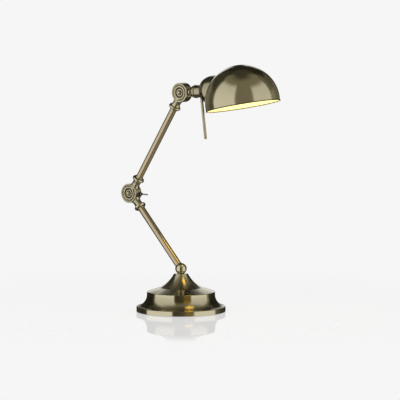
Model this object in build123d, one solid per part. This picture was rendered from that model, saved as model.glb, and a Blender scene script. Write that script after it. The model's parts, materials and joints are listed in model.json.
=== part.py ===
from build123d import *
import math
import os

# An adjustable two-arm desk lamp in turned and spun brass, in millimetres.
# +Z is up, the base stands on z = 0 and its axis is the Z axis. The arms fold in the XZ plane, the
# shade reaches out along +X, and the ringed faces of the friction joints look along -Y.

# Stance: the arms at rest
BALL_HEIGHT = 77.5
LOWER_REACH = 173.8
LOWER_LEAN = 41.82
UPPER_REACH = 221.2
UPPER_LEAN = 32.44
NECK_RISE = 5.2
SHADE_TILT = 11.8

# Base shell: flange, cove, shoulder, sloping deck and trumpet cone, spun from one sheet
BASE_RADIUS = 80.0
BASE_SHEET = 1.5
BASE_LIFT = 0.8
FLANGE_TOP = 9.4
COVE_RADIUS = 22.0
COVE_START = (73.8, 11.1)
SHOULDER_RADIUS = 61.2
COVE_END_HEIGHT = 31.0
SHOULDER_TOP = 35.9
DECK_INNER = (37.6, 43.4)
CONE_TOP_RADIUS = 12.3
CONE_TOP = 68.8
CONE_SAG = 2.7
EDGE_BREAK = 0.6

# Ballast, cover plate and foot
WEIGHT_OUTER = 57.0
WEIGHT_INNER = 40.0
WEIGHT_BOTTOM = 3.5
CORD_SLOT_WIDTH = 8.0
CORD_SLOT_HEIGHT = 9.0
PLATE_RADIUS = 73.5
PLATE_THICKNESS = 1.5
PAD_OUTER = 73.0
PAD_SCREW_HOLE = 4.8
PAD_THICKNESS = 2.0
FIXING_COUNT = 3
STUD_CIRCLE = 48.5
STUD_RADIUS = 2.0
STUD_HOLE_RADIUS = 2.6
STUD_SHORT = 0.5
STUD_NUT_FLATS = 7.0
STUD_NUT_HEIGHT = 3.2
NUT_POCKET_RADIUS = 5.0
NUT_POCKET_DEPTH = 5.0
PLATE_SCREW_RADIUS = 1.75
PLATE_SCREW_LENGTH = 9.0
PLATE_SCREW_HEAD = 3.6
PLATE_SCREW_FACE = 1.6
PLATE_SCREW_CROWN = 0.6
PLATE_SCREW_SLOT = (0.9, 1.4)
PLATE_SCREW_POINT = 1.0
PLATE_SCREW_TURN = 60.0

# Inlet grommet in the rear of the flange
GROMMET_HEIGHT = 5.1
GROMMET_HOLE = 3.5
GROMMET_BORE = 2.8
GROMMET_FLANGE = 4.2
GROMMET_LIP = 0.8

# Swivel of the ball on top of the cone
BALL_RADIUS = 10.3
NIPPLE_RADIUS = 5.0
NIPPLE_BORE = 3.4
RUNNING_GAP = 0.05
SWIVEL_GAP = 0.3
BUSH_RADIUS = 6.3
BUSH_FLANGE = 9.0
BUSH_FLANGE_THICKNESS = 1.2
TAB_REACH = 11.6
TAB_WIDTH = 3.0
STOP_PIN_CIRCLE = 10.3
STOP_PIN_RADIUS = 1.0
STOP_PIN_LENGTH = 4.5
STOP_WASHER_RADIUS = 8.5
TAB_ROOT = 5.0
SWIVEL_WASHER = 0.8
SWIVEL_SPRING_RADIUS = 7.5
SWIVEL_SPRING = 1.2
SWIVEL_NUT_FLATS = 14.0
SWIVEL_NUT_HEIGHT = 4.0
NIPPLE_TOP = 75.5
NIPPLE_TAIL = 2.5

# Arm tubes
TUBE_RADIUS = 6.1
TUBE_BORE = 5.1
TUBE_SOCKET = 24.0
BALL_SOCKET = 7.0
FLEX_RADIUS = 2.6
FLEX_MARGIN = 8.0

# Friction joint drum, measured from its pivot; heights are towards the ringed face
DRUM_RADIUS = 17.3
DRUM_HALF = 8.75
RIM_WIDTH = 2.8
RIM_HEIGHT = 1.2
FRONT_SPLIT = 2.1
REAR_SPLIT = 1.4
FRONT_FLOOR = 5.0
ROUNDEL_SEAT = 6.6
ROUNDEL_RADIUS = 14.0
ROUNDEL_STEP = 0.4
ROUNDEL_EDGE = 0.6
ROUNDEL_VALLEY = 0.5
ROUNDEL_BEAD = (12.4, 9.1, 1.45)
ROUNDEL_INNER_BEAD = (7.0, 4.5, 0.85)
DRUM_BORE = 14.7
REAR_FLOOR = -7.0
BOSS_RADIUS = 4.4
WIRE_WAY_START = 7.4
PIVOT_RADIUS = 2.5
BUTTON_RADIUS = 3.5
BUTTON_HEIGHT = 3.1
BUTTON_SEAT = 0.95
BUTTON_EDGE = 1.4
REAR_GROOVE = 11.5
REAR_GROOVE_WIDTH = 1.2
REAR_GROOVE_DEPTH = 0.5
REAR_EDGE = 1.2
REAR_EDGE_SWELL = 0.35
ACORN_FLATS = 8.0
ACORN_HEIGHT = 2.6
ACORN_DOME = 3.7
SPRING_WASHER = 1.0
SADDLE_GAP = 0.35
LINING_OUTER = 16.3
LINING_INNER = 15.0
LINING_THICKNESS = 0.5

# Turned neck and bead where a tube meets a drum
NECK_FOOT = 12.0
NECK_FLARE = 8.8
NECK_ROOT = 8.5
NECK_ROOT_END = 16.5
NECK_WAIST = 7.6
NECK_WAIST_END = 26.3
NECK_SWEEP = 1.0
NECK_LIP = 7.9
NECK_END = 27.5
NECK_WIRE_BORE = 3.9
BEAD_RADIUS = 10.9
BEAD_HALF = 3.0
BEAD_CENTRE = 31.2
BEAD_ROOT_SWELL = 0.2
BEAD_STEP = 0.6
COLLAR_SPIGOT = 7.3
COLLAR_END = 36.2
COLLAR_CHAMFER = 0.4

# Mini toggle switch in the rear half of the elbow
TOGGLE_ANGLE = -2.6
TOGGLE_OFFSET = -2.9
TOGGLE_BODY = (8.0, 12.0, 7.8)
TOGGLE_BODY_START = 5.0
TOGGLE_BODY_ROUND = 0.6
TOGGLE_BUSH_RADIUS = 2.9
TOGGLE_BUSH_END = 22.8
TOGGLE_BUSH_BORE = 2.15
TOGGLE_BUSH_CONE = (0.35, 1.0)
TOGGLE_BORE_START = 17.4
TOGGLE_FLAT = 16.6
TOGGLE_NUT_FLATS = 8.0
TOGGLE_NUT_HEIGHT = 1.8
TOGGLE_SPOT_RADIUS = 4.8
TOGGLE_HOLE_START = 8.4
LEVER_PIVOT = 19.6
LEVER_BALL = 2.0
LEVER_LENGTH = 14.8
LEVER_TIP_RADIUS = 1.3
LEVER_ROOT_RADIUS = 1.25
LEVER_LEAN = 12.0

# Head neck and the holder collar that swivels on it
HEAD_ROOT = 7.0
HEAD_WAIST = 6.4
HEAD_WAIST_END = 19.6
HEAD_SWEEP = 0.2
HEAD_NECK_END = 20.9
SPIGOT_RADIUS = 4.9
SPIGOT_END = 36.0
SPIGOT_BORE = 2.9
COLLAR_START = 21.7
COLLAR_RADIUS = 10.7
COLLAR_NOSE = (7.2, 8.5, 25.0)
COLLAR_CREST = (11.3, 32.2, 33.6)
COLLAR_CREST_SWELL = 0.8
COLLAR_GROOVE = (10.2, 34.4)
COLLAR_SHOULDER = 35.1
BEARING_END = 29.4
COLLAR_CAVITY = 8.9
COLLAR_WEB = 39.0
NECK_WASHER = 0.8
NECK_NUT_FLATS = 13.0
NECK_NUT_HEIGHT = 4.0

# Bell cover, lampholder and lamp, along the neck axis from the head pivot
BELL_CENTRE = 71.2
BELL_RADIUS = 26.0
BELL_SHEET = 1.2
BELL_GAP = 1.3
HOLDER_NIPPLE_END = 56.0
BELL_NUT_FLATS = 14.0
BELL_NUT_HEIGHT = 3.0
BELL_NUT_SEAT = 1.5
HOLDER_START = 53.0
HOLDER_RADIUS = 13.6
HOLDER_CAP_RADIUS = 10.0
HOLDER_SHOULDER = 61.0
HOLDER_SWELL = 1.0
HOLDER_END = 96.0
HOLDER_SOCKET_RADIUS = 8.2
HOLDER_SOCKET_DEPTH = 26.0
SADDLE_RADIUS = 17.0
SADDLE_START = 62.0
RING_RADIUS = 17.5
RING_END = 92.0
SEAT_REACH = 102.0
LAMP_GLOBE_RADIUS = 22.5
LAMP_GLOBE_CENTRE = 128.0
LAMP_NECK_RADIUS = 10.2
LAMP_NECK_END = 104.0
LAMP_FLARE = (17.0, 113.2)
LAMP_ROOT = 95.0
LAMP_GLASS = 0.8
CAP_RADIUS = 7.0
CAP_START = 72.5
CAP_END = 98.0
CAP_CONTACT_RADIUS = 3.2
CAP_CONTACT_HEIGHT = 1.5
CAP_SHOULDER = 77.0
CAP_INNER = 6.2
CAP_SHELL = 7.5
CAP_FLOOR = 94.0

# Dome shade, hung beside the neck axis
SHADE_REACH = 136.1
SHADE_DROP = 32.2
SHADE_RADIUS = 66.1
SHADE_SKIRT = 9.0
SHADE_RISE = 64.7
SHADE_SHEET = 1.2
SHADE_BEAD = 1.0
SHADE_BEAD_EDGE = 0.5
SHADE_BEAD_SWELL = 0.8
SHADE_HOLE = 14.2

# Handle rod under the collar
ROD_RADIUS = 2.5
ROD_STATION = 43.3
ROD_SEAT = 8.3
ROD_LENGTH = 85.7
ROD_LEAN = 2.1


def outline(start, *moves):
    """Close a profile of (r, z) points; a third number bulges a stretch to the right of its travel."""
    edges = []
    here = start
    for radius, height, *bulge in moves:
        there = (radius, height)
        if bulge:
            edges.append(SagittaArc(here, there, -bulge[0]))
        else:
            edges.append(Line(here, there))
        here = there
    edges.append(Line(here, start))
    return make_face(edges)


def cap_bulge(radius, height):
    """Bulge of an arc from the edge of a round cap to its top, square to the axis there."""
    curve = (radius**2 + height**2) / (2 * height)
    return curve * (1 - math.cos(math.atan2(radius, curve - height) / 2))


def turned(profile):
    """Revolve a profile of radius and height about the Z axis."""
    return revolve(Plane.XZ * profile, Axis.Z)


def rod(radius, low, high):
    """A round bar along Z between two heights."""
    return Pos(0, 0, low) * Cylinder(radius, high - low, align=(Align.CENTER, Align.CENTER, Align.MIN))


def tube(outer, inner, low, high):
    """A round tube along Z between two heights."""
    return turned(outline((inner, low), (outer, low), (outer, high), (inner, high)))


def hexagon(flats, low, high):
    """A hexagonal bar along Z, given across its flats."""
    face = RegularPolygon(flats / 2, 6, major_radius=False)
    return Pos(0, 0, low) * extrude(face, high - low)


def around(count, radius, item, start=0.0):
    """Copies of an item, evenly spaced on a circle about Z."""
    return [Rot(0, 0, start + 360.0 * i / count) * Pos(radius, 0, 0) * item for i in range(count)]


def save(name, *pieces):
    """Write one node as a STEP file."""
    solids = []
    for piece in pieces:
        solids.extend(piece.solids())
    shape = solids[0] if len(solids) == 1 else Compound(children=solids)
    export_step(shape, f"parts/{name}.step")


def step_from(point, angle, distance):
    """The point that lies a distance from another in the XZ plane, at an angle above +X."""
    turn = math.radians(angle)
    return (point[0] + distance * math.cos(turn), point[1] + distance * math.sin(turn))


def axis_frame(point, angle):
    """Frame whose local Z runs along a direction in the XZ plane and whose local X looks to -Y."""
    turn = math.radians(angle)
    origin = (point[0], 0, point[1])
    return Plane(origin=origin, x_dir=(0, -1, 0), z_dir=(math.cos(turn), 0, math.sin(turn)))


def drum_frame(point):
    """Frame of a friction joint: local Z towards its ringed face, local X along +X."""
    return Plane(origin=(point[0], 0, point[1]), x_dir=(1, 0, 0), z_dir=(0, -1, 0))


BALL = (0.0, BALL_HEIGHT)
LOWER_UP = 90.0 + LOWER_LEAN
UPPER_UP = 90.0 - UPPER_LEAN
ELBOW = step_from(BALL, LOWER_UP, LOWER_REACH)
HEAD = step_from(ELBOW, UPPER_UP, UPPER_REACH)
LOWER_DOWN = LOWER_UP - 180.0
UPPER_DOWN = UPPER_UP + 180.0


# ---------------------------------------------------------------- base

def base_line():
    """Outer line of the spun shell, from its lower edge up to the hole in the cone's top."""
    side = BASE_RADIUS
    corners = [
        (side - EDGE_BREAK, BASE_LIFT),
        (side, BASE_LIFT + EDGE_BREAK),
        (side, FLANGE_TOP - EDGE_BREAK),
        (side - EDGE_BREAK, FLANGE_TOP),
        COVE_START,
    ]
    edges = [Line(a, b) for a, b in zip(corners, corners[1:])]
    cove_end = (SHOULDER_RADIUS, COVE_END_HEIGHT)
    shoulder = (SHOULDER_RADIUS, SHOULDER_TOP - EDGE_BREAK)
    deck_edge = (SHOULDER_RADIUS - EDGE_BREAK, SHOULDER_TOP)
    cone_edge = (CONE_TOP_RADIUS + EDGE_BREAK, CONE_TOP - EDGE_BREAK)
    edges.append(RadiusArc(COVE_START, cove_end, COVE_RADIUS))
    edges.append(Line(cove_end, shoulder))
    edges.append(Line(shoulder, deck_edge))
    edges.append(Line(deck_edge, DECK_INNER))
    edges.append(SagittaArc(DECK_INNER, cone_edge, CONE_SAG))
    edges.append(Line(cone_edge, (CONE_TOP_RADIUS, CONE_TOP)))
    edges.append(Line((CONE_TOP_RADIUS, CONE_TOP), (BUSH_RADIUS, CONE_TOP)))
    return Wire(edges)


def deck_underside(radius):
    """Height of the inner face of the sloping deck at a radius."""
    run = SHOULDER_RADIUS - EDGE_BREAK - DECK_INNER[0]
    slope = (DECK_INNER[1] - SHOULDER_TOP) / run
    outer = SHOULDER_TOP + (SHOULDER_RADIUS - EDGE_BREAK - radius) * slope
    return outer - BASE_SHEET * math.hypot(1.0, slope)


def base_shell():
    """The spun shell with its swivel hole and the inlet hole at the rear."""
    band = make_face(offset(base_line(), BASE_SHEET, side=Side.LEFT, closed=True).edges())
    inlet = Pos(-BASE_RADIUS, 0, GROMMET_HEIGHT) * Rot(0, 90, 0) * Cylinder(GROMMET_HOLE, 4 * BASE_SHEET)
    return turned(band) - inlet


def base_weight():
    """Cast ring that fills the step of the shell, with stud holes, nut pockets and a cord slot."""
    ring = turned(
        outline(
            (WEIGHT_INNER, WEIGHT_BOTTOM),
            (WEIGHT_OUTER, WEIGHT_BOTTOM),
            (WEIGHT_OUTER, deck_underside(WEIGHT_OUTER)),
            (WEIGHT_INNER, deck_underside(WEIGHT_INNER)),
        )
    )
    hole = rod(STUD_HOLE_RADIUS, 0, CONE_TOP)
    pocket = rod(NUT_POCKET_RADIUS, 0, WEIGHT_BOTTOM + NUT_POCKET_DEPTH)
    thread = rod(PLATE_SCREW_RADIUS, 0, WEIGHT_BOTTOM + PLATE_SCREW_LENGTH)
    ring -= around(FIXING_COUNT, STUD_CIRCLE, hole)
    ring -= around(FIXING_COUNT, STUD_CIRCLE, pocket)
    ring -= around(FIXING_COUNT, STUD_CIRCLE, thread, start=PLATE_SCREW_TURN)
    slot = Pos(-STUD_CIRCLE, 0, WEIGHT_BOTTOM) * Box(
        2 * (WEIGHT_OUTER - WEIGHT_INNER), CORD_SLOT_WIDTH, 2 * CORD_SLOT_HEIGHT
    )
    return ring - slot


def base_studs():
    """Weld studs that hang from the deck and pull the weight up against it."""
    top = deck_underside(STUD_CIRCLE + STUD_RADIUS)
    return around(FIXING_COUNT, STUD_CIRCLE, rod(STUD_RADIUS, WEIGHT_BOTTOM + STUD_SHORT, top))


def stud_nuts():
    """Nuts on the studs, sunk in the pockets of the weight."""
    top = WEIGHT_BOTTOM + NUT_POCKET_DEPTH
    nut = hexagon(STUD_NUT_FLATS, top - STUD_NUT_HEIGHT, top) - rod(STUD_RADIUS, 0, CONE_TOP)
    return around(FIXING_COUNT, STUD_CIRCLE, nut)


def bottom_plate():
    """Pressed disc that closes the base, notched where a cord would come in."""
    disc = rod(PLATE_RADIUS, WEIGHT_BOTTOM - PLATE_THICKNESS, WEIGHT_BOTTOM)
    screw_hole = rod(PLATE_SCREW_RADIUS, 0, WEIGHT_BOTTOM)
    disc -= around(FIXING_COUNT, STUD_CIRCLE, screw_hole, start=PLATE_SCREW_TURN)
    notch_depth = PLATE_RADIUS - WEIGHT_OUTER
    return disc - Pos(-PLATE_RADIUS, 0, 0) * Box(2 * notch_depth, CORD_SLOT_WIDTH, 4 * WEIGHT_BOTTOM)


def plate_screws():
    """Pan-head screws through the plate into the weight."""
    low = WEIGHT_BOTTOM - PLATE_THICKNESS
    width, depth = PLATE_SCREW_SLOT
    slot = Pos(0, 0, low - PLATE_SCREW_FACE) * Box(2 * PLATE_SCREW_HEAD, width, depth)
    screw = turned(
        outline(
            (0, low - PLATE_SCREW_FACE),
            (PLATE_SCREW_FACE, low - PLATE_SCREW_FACE),
            (PLATE_SCREW_HEAD, low, PLATE_SCREW_CROWN),
            (PLATE_SCREW_RADIUS, low),
            (PLATE_SCREW_RADIUS, WEIGHT_BOTTOM + PLATE_SCREW_LENGTH - PLATE_SCREW_POINT),
            (0, WEIGHT_BOTTOM + PLATE_SCREW_LENGTH),
        )
    )
    return around(FIXING_COUNT, STUD_CIRCLE, screw - slot, start=PLATE_SCREW_TURN)


def foot_pad():
    """Soft disc under the plate, cut away round the screw heads."""
    clear = rod(PAD_SCREW_HOLE, -PAD_THICKNESS, 2 * PAD_THICKNESS)
    disc = rod(PAD_OUTER, 0, PAD_THICKNESS)
    return disc - around(FIXING_COUNT, STUD_CIRCLE, clear, start=PLATE_SCREW_TURN)


def cable_grommet():
    """Rubber grommet that lines the inlet, lipped on both sides of the sheet."""
    half = BASE_SHEET / 2
    profile = outline(
        (GROMMET_BORE, -half - GROMMET_LIP),
        (GROMMET_FLANGE, -half - GROMMET_LIP),
        (GROMMET_FLANGE, -half),
        (GROMMET_HOLE, -half),
        (GROMMET_HOLE, half),
        (GROMMET_FLANGE, half),
        (GROMMET_FLANGE, half + GROMMET_LIP),
        (GROMMET_BORE, half + GROMMET_LIP),
    )
    wall = BASE_RADIUS - half
    ring = Pos(-wall, 0, GROMMET_HEIGHT) * Rot(0, 90, 0) * turned(profile)
    return ring - base_shell()


def make_base():
    """Write the pieces of the base."""
    save("base_shell", base_shell())
    save("base_weight", base_weight())
    save("base_studs", *base_studs())
    save("stud_nuts", *stud_nuts())
    save("bottom_plate", bottom_plate())
    save("plate_screws", *plate_screws())
    save("foot_pad", foot_pad())
    save("cable_grommet", cable_grommet())
    under = CONE_TOP - BASE_SHEET
    bush = turned(
        outline(
            (NIPPLE_RADIUS + RUNNING_GAP, under - BUSH_FLANGE_THICKNESS),
            (BUSH_FLANGE, under - BUSH_FLANGE_THICKNESS),
            (BUSH_FLANGE, under),
            (BUSH_RADIUS, under),
            (BUSH_RADIUS, CONE_TOP),
            (NIPPLE_RADIUS + RUNNING_GAP, CONE_TOP),
        )
    )
    save("swivel_bush", bush)
    pin = rod(STOP_PIN_RADIUS, under - STOP_PIN_LENGTH, under)
    save("stop_pin", Pos(STOP_PIN_CIRCLE, 0, 0) * pin)


# ---------------------------------------------------------------- swivel and lower arm

def ball_elbow():
    """Ball that turns the arm out of the vertical, flat below and bored for nipple and tube."""
    seat = CONE_TOP + SWIVEL_GAP
    ball = Pos(0, 0, BALL_HEIGHT) * Sphere(BALL_RADIUS)
    ball &= rod(2 * BALL_RADIUS, seat, BALL_HEIGHT + 2 * BALL_RADIUS)
    ball -= rod(NIPPLE_RADIUS, 0, NIPPLE_TOP)
    along = axis_frame(BALL, LOWER_UP)
    ball -= along * rod(TUBE_RADIUS, BALL_SOCKET, 2 * BALL_RADIUS)
    ball -= along * rod(NIPPLE_BORE, 0, BALL_RADIUS)
    ball -= rod(NIPPLE_BORE, 0, BALL_HEIGHT)
    ball -= Pos(0, 0, BALL_HEIGHT) * Sphere(NIPPLE_BORE)
    return ball


def stop_washer(top):
    """Washer with a tab that meets the stop pin before the flex is wound up."""
    disc = tube(STOP_WASHER_RADIUS, NIPPLE_RADIUS, top - SWIVEL_WASHER, top)
    tab = Pos(-(TAB_ROOT + TAB_REACH) / 2, 0, top - SWIVEL_WASHER / 2)
    tab *= Box(TAB_REACH - TAB_ROOT, TAB_WIDTH, SWIVEL_WASHER)
    return disc + tab


def make_swivel():
    """Write the ball and the fixings that hold it to the cone."""
    save("ball_elbow", ball_elbow())
    below = CONE_TOP - BASE_SHEET - BUSH_FLANGE_THICKNESS - SWIVEL_GAP
    save("stop_washer", stop_washer(below))
    spring_top = below - SWIVEL_WASHER
    nut_top = spring_top - SWIVEL_SPRING
    spring = tube(SWIVEL_SPRING_RADIUS, NIPPLE_RADIUS, nut_top, spring_top)
    save("swivel_spring_washer", spring)
    nut = hexagon(SWIVEL_NUT_FLATS, nut_top - SWIVEL_NUT_HEIGHT, nut_top)
    save("swivel_locknut", nut - rod(NIPPLE_RADIUS, 0, CONE_TOP))
    low = nut_top - SWIVEL_NUT_HEIGHT - NIPPLE_TAIL
    save("swivel_nipple", tube(NIPPLE_RADIUS, NIPPLE_BORE, low, NIPPLE_TOP))


def arm_tube(frame, low, high):
    """Drawn tube of an arm between two stations."""
    return frame * tube(TUBE_RADIUS, TUBE_BORE, low, high)


def arm_flex(frame, low, high):
    """Straight run of flex lying along the lower side of a tube's bore."""
    offset_side = TUBE_BORE - FLEX_RADIUS
    return frame * Pos(0, offset_side, 0) * rod(FLEX_RADIUS, low, high)


def bead_collar():
    """Turned ferrule with a full bead, which covers the joint of neck and tube."""
    bead_root = BEAD_RADIUS - BEAD_HALF
    profile = outline(
        (TUBE_RADIUS, NECK_END),
        (NECK_LIP, NECK_END),
        (bead_root, BEAD_CENTRE - BEAD_HALF, BEAD_ROOT_SWELL),
        (bead_root, BEAD_CENTRE + BEAD_HALF, BEAD_HALF),
        (COLLAR_SPIGOT, BEAD_CENTRE + BEAD_HALF + BEAD_STEP),
        (COLLAR_SPIGOT, COLLAR_END - COLLAR_CHAMFER),
        (COLLAR_SPIGOT - COLLAR_CHAMFER, COLLAR_END),
        (TUBE_RADIUS, COLLAR_END),
    )
    return turned(profile)


# ---------------------------------------------------------------- friction joint

def arm_neck():
    """Turned neck between a drum and a bead collar, with a tube socket and a wire way."""
    profile = outline(
        (0, NECK_FOOT),
        (NECK_FLARE, NECK_FOOT),
        (NECK_ROOT, NECK_ROOT_END),
        (NECK_WAIST, NECK_WAIST_END, -NECK_SWEEP),
        (NECK_LIP, NECK_END),
        (0, NECK_END),
    )
    return turned(profile)


def head_neck():
    """Short waisted neck of the head, with the spigot that the collar turns on."""
    profile = outline(
        (0, NECK_FOOT),
        (HEAD_ROOT, NECK_FOOT),
        (HEAD_WAIST, HEAD_WAIST_END, -HEAD_SWEEP),
        (HEAD_WAIST, HEAD_NECK_END),
        (SPIGOT_RADIUS, HEAD_NECK_END),
        (SPIGOT_RADIUS, SPIGOT_END),
        (0, SPIGOT_END),
    )
    return turned(profile)


def front_blank():
    """Ringed half of a drum before its neck is joined: raised rim and a seat for the roundel."""
    rim_foot = DRUM_HALF - RIM_HEIGHT
    return turned(
        outline(
            (0, FRONT_SPLIT),
            (DRUM_RADIUS, FRONT_SPLIT),
            (DRUM_RADIUS, rim_foot),
            (DRUM_RADIUS - RIM_WIDTH, rim_foot, RIM_HEIGHT),
            (ROUNDEL_RADIUS, rim_foot - ROUNDEL_STEP),
            (ROUNDEL_RADIUS, ROUNDEL_SEAT),
            (0, ROUNDEL_SEAT),
        )
    )


def rear_blank():
    """Plain half of a drum before its neck is joined: rounded rim and one turned groove."""
    groove = REAR_GROOVE_WIDTH / 2
    return turned(
        outline(
            (0, REAR_SPLIT),
            (0, -DRUM_HALF),
            (REAR_GROOVE - groove, -DRUM_HALF),
            (REAR_GROOVE, -DRUM_HALF + REAR_GROOVE_DEPTH),
            (REAR_GROOVE + groove, -DRUM_HALF),
            (DRUM_RADIUS - REAR_EDGE, -DRUM_HALF),
            (DRUM_RADIUS, -DRUM_HALF + REAR_EDGE, REAR_EDGE_SWELL),
            (DRUM_RADIUS, REAR_SPLIT),
        )
    )


def front_half(neck, angle):
    """Ringed half of a drum with its neck, which overhangs the other half at a small gap."""
    frame = axis_frame((0, 0), angle)
    local_neck = drum_frame((0, 0)).location.inverse() * frame.location * neck
    clear = rod(DRUM_RADIUS + SADDLE_GAP, -2 * DRUM_RADIUS, FRONT_SPLIT)
    half = front_blank() + (local_neck - clear)
    half -= rod(ROUNDEL_RADIUS, ROUNDEL_SEAT, 2 * DRUM_HALF)
    half -= tube(DRUM_BORE, BOSS_RADIUS, FRONT_SPLIT - 1, FRONT_FLOOR)
    return half - rod(PIVOT_RADIUS + RUNNING_GAP, 0, 2 * DRUM_HALF)


def rear_half(neck, angle):
    """Plain half of a drum with its neck and the hollow behind the joint."""
    frame = axis_frame((0, 0), angle)
    local_neck = drum_frame((0, 0)).location.inverse() * frame.location * neck
    clear = rod(DRUM_RADIUS + SADDLE_GAP, REAR_SPLIT, 2 * DRUM_RADIUS)
    half = rear_blank() + (local_neck - clear)
    half -= tube(DRUM_BORE, BOSS_RADIUS, REAR_FLOOR, REAR_SPLIT + 1)
    return half - rod(PIVOT_RADIUS + RUNNING_GAP, -2 * DRUM_HALF, 2 * DRUM_HALF)


def neck_bores(angle, wire_bore, wire_end, socket=None):
    """The wire way along a neck, and the tube socket at its end, in the drum's own frame."""
    frame = axis_frame((0, 0), angle)
    bores = rod(wire_bore, WIRE_WAY_START, wire_end)
    if socket:
        bores += rod(TUBE_RADIUS, socket, 2 * NECK_END)
    return drum_frame((0, 0)).location.inverse() * frame.location * bores


def roundel():
    """Ornamental disc of turned rings: two grooves, a broad bead and a small one."""
    valley = ROUNDEL_SEAT + ROUNDEL_VALLEY
    bead_outer, bead_inner, bead_crown = ROUNDEL_BEAD
    small_outer, small_inner, small_crown = ROUNDEL_INNER_BEAD
    return turned(
        outline(
            (PIVOT_RADIUS + RUNNING_GAP, ROUNDEL_SEAT),
            (ROUNDEL_RADIUS, ROUNDEL_SEAT),
            (ROUNDEL_RADIUS, ROUNDEL_SEAT + ROUNDEL_EDGE),
            (bead_outer, valley),
            (bead_inner, valley, bead_crown),
            (small_outer, valley),
            (small_inner, valley, small_crown),
            (PIVOT_RADIUS + RUNNING_GAP, valley),
        )
    )


def pivot_screw():
    """Pivot screw whose domed head is the button at the middle of the rings."""
    head_foot = ROUNDEL_SEAT + BUTTON_SEAT
    head_edge = head_foot + BUTTON_EDGE
    head_top = DRUM_HALF + BUTTON_HEIGHT
    return turned(
        outline(
            (0, -DRUM_HALF - ACORN_HEIGHT),
            (PIVOT_RADIUS, -DRUM_HALF - ACORN_HEIGHT),
            (PIVOT_RADIUS, head_foot),
            (BUTTON_RADIUS, head_foot),
            (BUTTON_RADIUS, head_edge),
            (0, head_top, cap_bulge(BUTTON_RADIUS, head_top - head_edge)),
        )
    )


def acorn_nut():
    """Acorn nut on the rear end of the pivot screw."""
    seat = -DRUM_HALF - SPRING_WASHER
    end = seat - ACORN_HEIGHT
    nut = hexagon(ACORN_FLATS, end, seat)
    crown = cap_bulge(ACORN_DOME, ACORN_DOME)
    dome = turned(outline((0, end - ACORN_DOME), (ACORN_DOME, end, crown), (0, end)))
    shank = rod(PIVOT_RADIUS, -DRUM_HALF - ACORN_HEIGHT, 0)
    return nut + dome - shank


def make_joint(prefix, point, front, rear):
    """Write a friction joint: both halves, lining, roundel, screw, washer and nut."""
    place = drum_frame(point)
    front_name, front_solid = front
    rear_name, rear_solid = rear
    save(front_name, place * front_solid)
    save(rear_name, place * rear_solid)
    lining = tube(LINING_OUTER, LINING_INNER, FRONT_SPLIT - LINING_THICKNESS, FRONT_SPLIT)
    save(f"{prefix}_friction_lining", place * lining)
    save(f"{prefix}_roundel", place * roundel())
    save(f"{prefix}_pivot_screw", place * pivot_screw())
    washer = tube(ACORN_FLATS / 2, PIVOT_RADIUS, -DRUM_HALF - SPRING_WASHER, -DRUM_HALF)
    save(f"{prefix}_spring_washer", place * washer)
    save(f"{prefix}_acorn_nut", place * acorn_nut())


# ---------------------------------------------------------------- toggle switch

def toggle_frame():
    """Frame of the switch: local Z radially out of the elbow, local X towards the ringed face."""
    turn = math.radians(TOGGLE_ANGLE)
    origin = (ELBOW[0], -TOGGLE_OFFSET, ELBOW[1])
    return Plane(origin=origin, x_dir=(0, -1, 0), z_dir=(math.cos(turn), 0, math.sin(turn)))


def toggle_body():
    """Moulded switch body."""
    depth, width, height = TOGGLE_BODY
    body = Pos(0, 0, TOGGLE_BODY_START + depth / 2) * Box(height, width, depth)
    return fillet(body.edges().filter_by(Axis.Z), TOGGLE_BODY_ROUND)


def toggle_bush():
    """Threaded bush of the switch, coned at its mouth and bored for the lever."""
    start = TOGGLE_BODY_START + TOGGLE_BODY[0]
    narrowing, cone = TOGGLE_BUSH_CONE
    profile = outline(
        (0, start),
        (TOGGLE_BUSH_RADIUS, start),
        (TOGGLE_BUSH_RADIUS, TOGGLE_BUSH_END - cone),
        (TOGGLE_BUSH_RADIUS - narrowing, TOGGLE_BUSH_END),
        (TOGGLE_BUSH_BORE, TOGGLE_BUSH_END),
        (TOGGLE_BUSH_BORE, TOGGLE_BORE_START),
        (0, TOGGLE_BORE_START),
    )
    return turned(profile)


def toggle_lever():
    """Lever with its pivot ball, tapered stem and rounded tip, thrown to one side."""
    ball = Sphere(LEVER_BALL)
    stem_end = LEVER_LENGTH - LEVER_TIP_RADIUS
    stem = turned(
        outline(
            (0, 0),
            (LEVER_ROOT_RADIUS, 0),
            (LEVER_TIP_RADIUS, stem_end),
            (0, LEVER_LENGTH, cap_bulge(LEVER_TIP_RADIUS, LEVER_TIP_RADIUS)),
        )
    )
    return Pos(0, 0, LEVER_PIVOT) * Rot(0, -LEVER_LEAN, 0) * (ball + stem)


def make_toggle():
    """Write the switch and its fixing nut."""
    place = toggle_frame()
    save("toggle_body", place * toggle_body())
    save("toggle_bush", place * toggle_bush())
    nut = hexagon(TOGGLE_NUT_FLATS, TOGGLE_FLAT, TOGGLE_FLAT + TOGGLE_NUT_HEIGHT)
    save("toggle_nut", place * (nut - rod(TOGGLE_BUSH_RADIUS, 0, TOGGLE_BUSH_END)))
    save("toggle_lever", place * toggle_lever())


def toggle_cutout():
    """The hole and spot face for the switch, in the frame of the elbow's drum."""
    hole = rod(TOGGLE_BUSH_RADIUS, TOGGLE_HOLE_START, 2 * DRUM_RADIUS)
    spot = rod(TOGGLE_SPOT_RADIUS, TOGGLE_FLAT, 2 * DRUM_RADIUS)
    return drum_frame(ELBOW).location.inverse() * toggle_frame().location * (hole + spot)


# ---------------------------------------------------------------- arms

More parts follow.
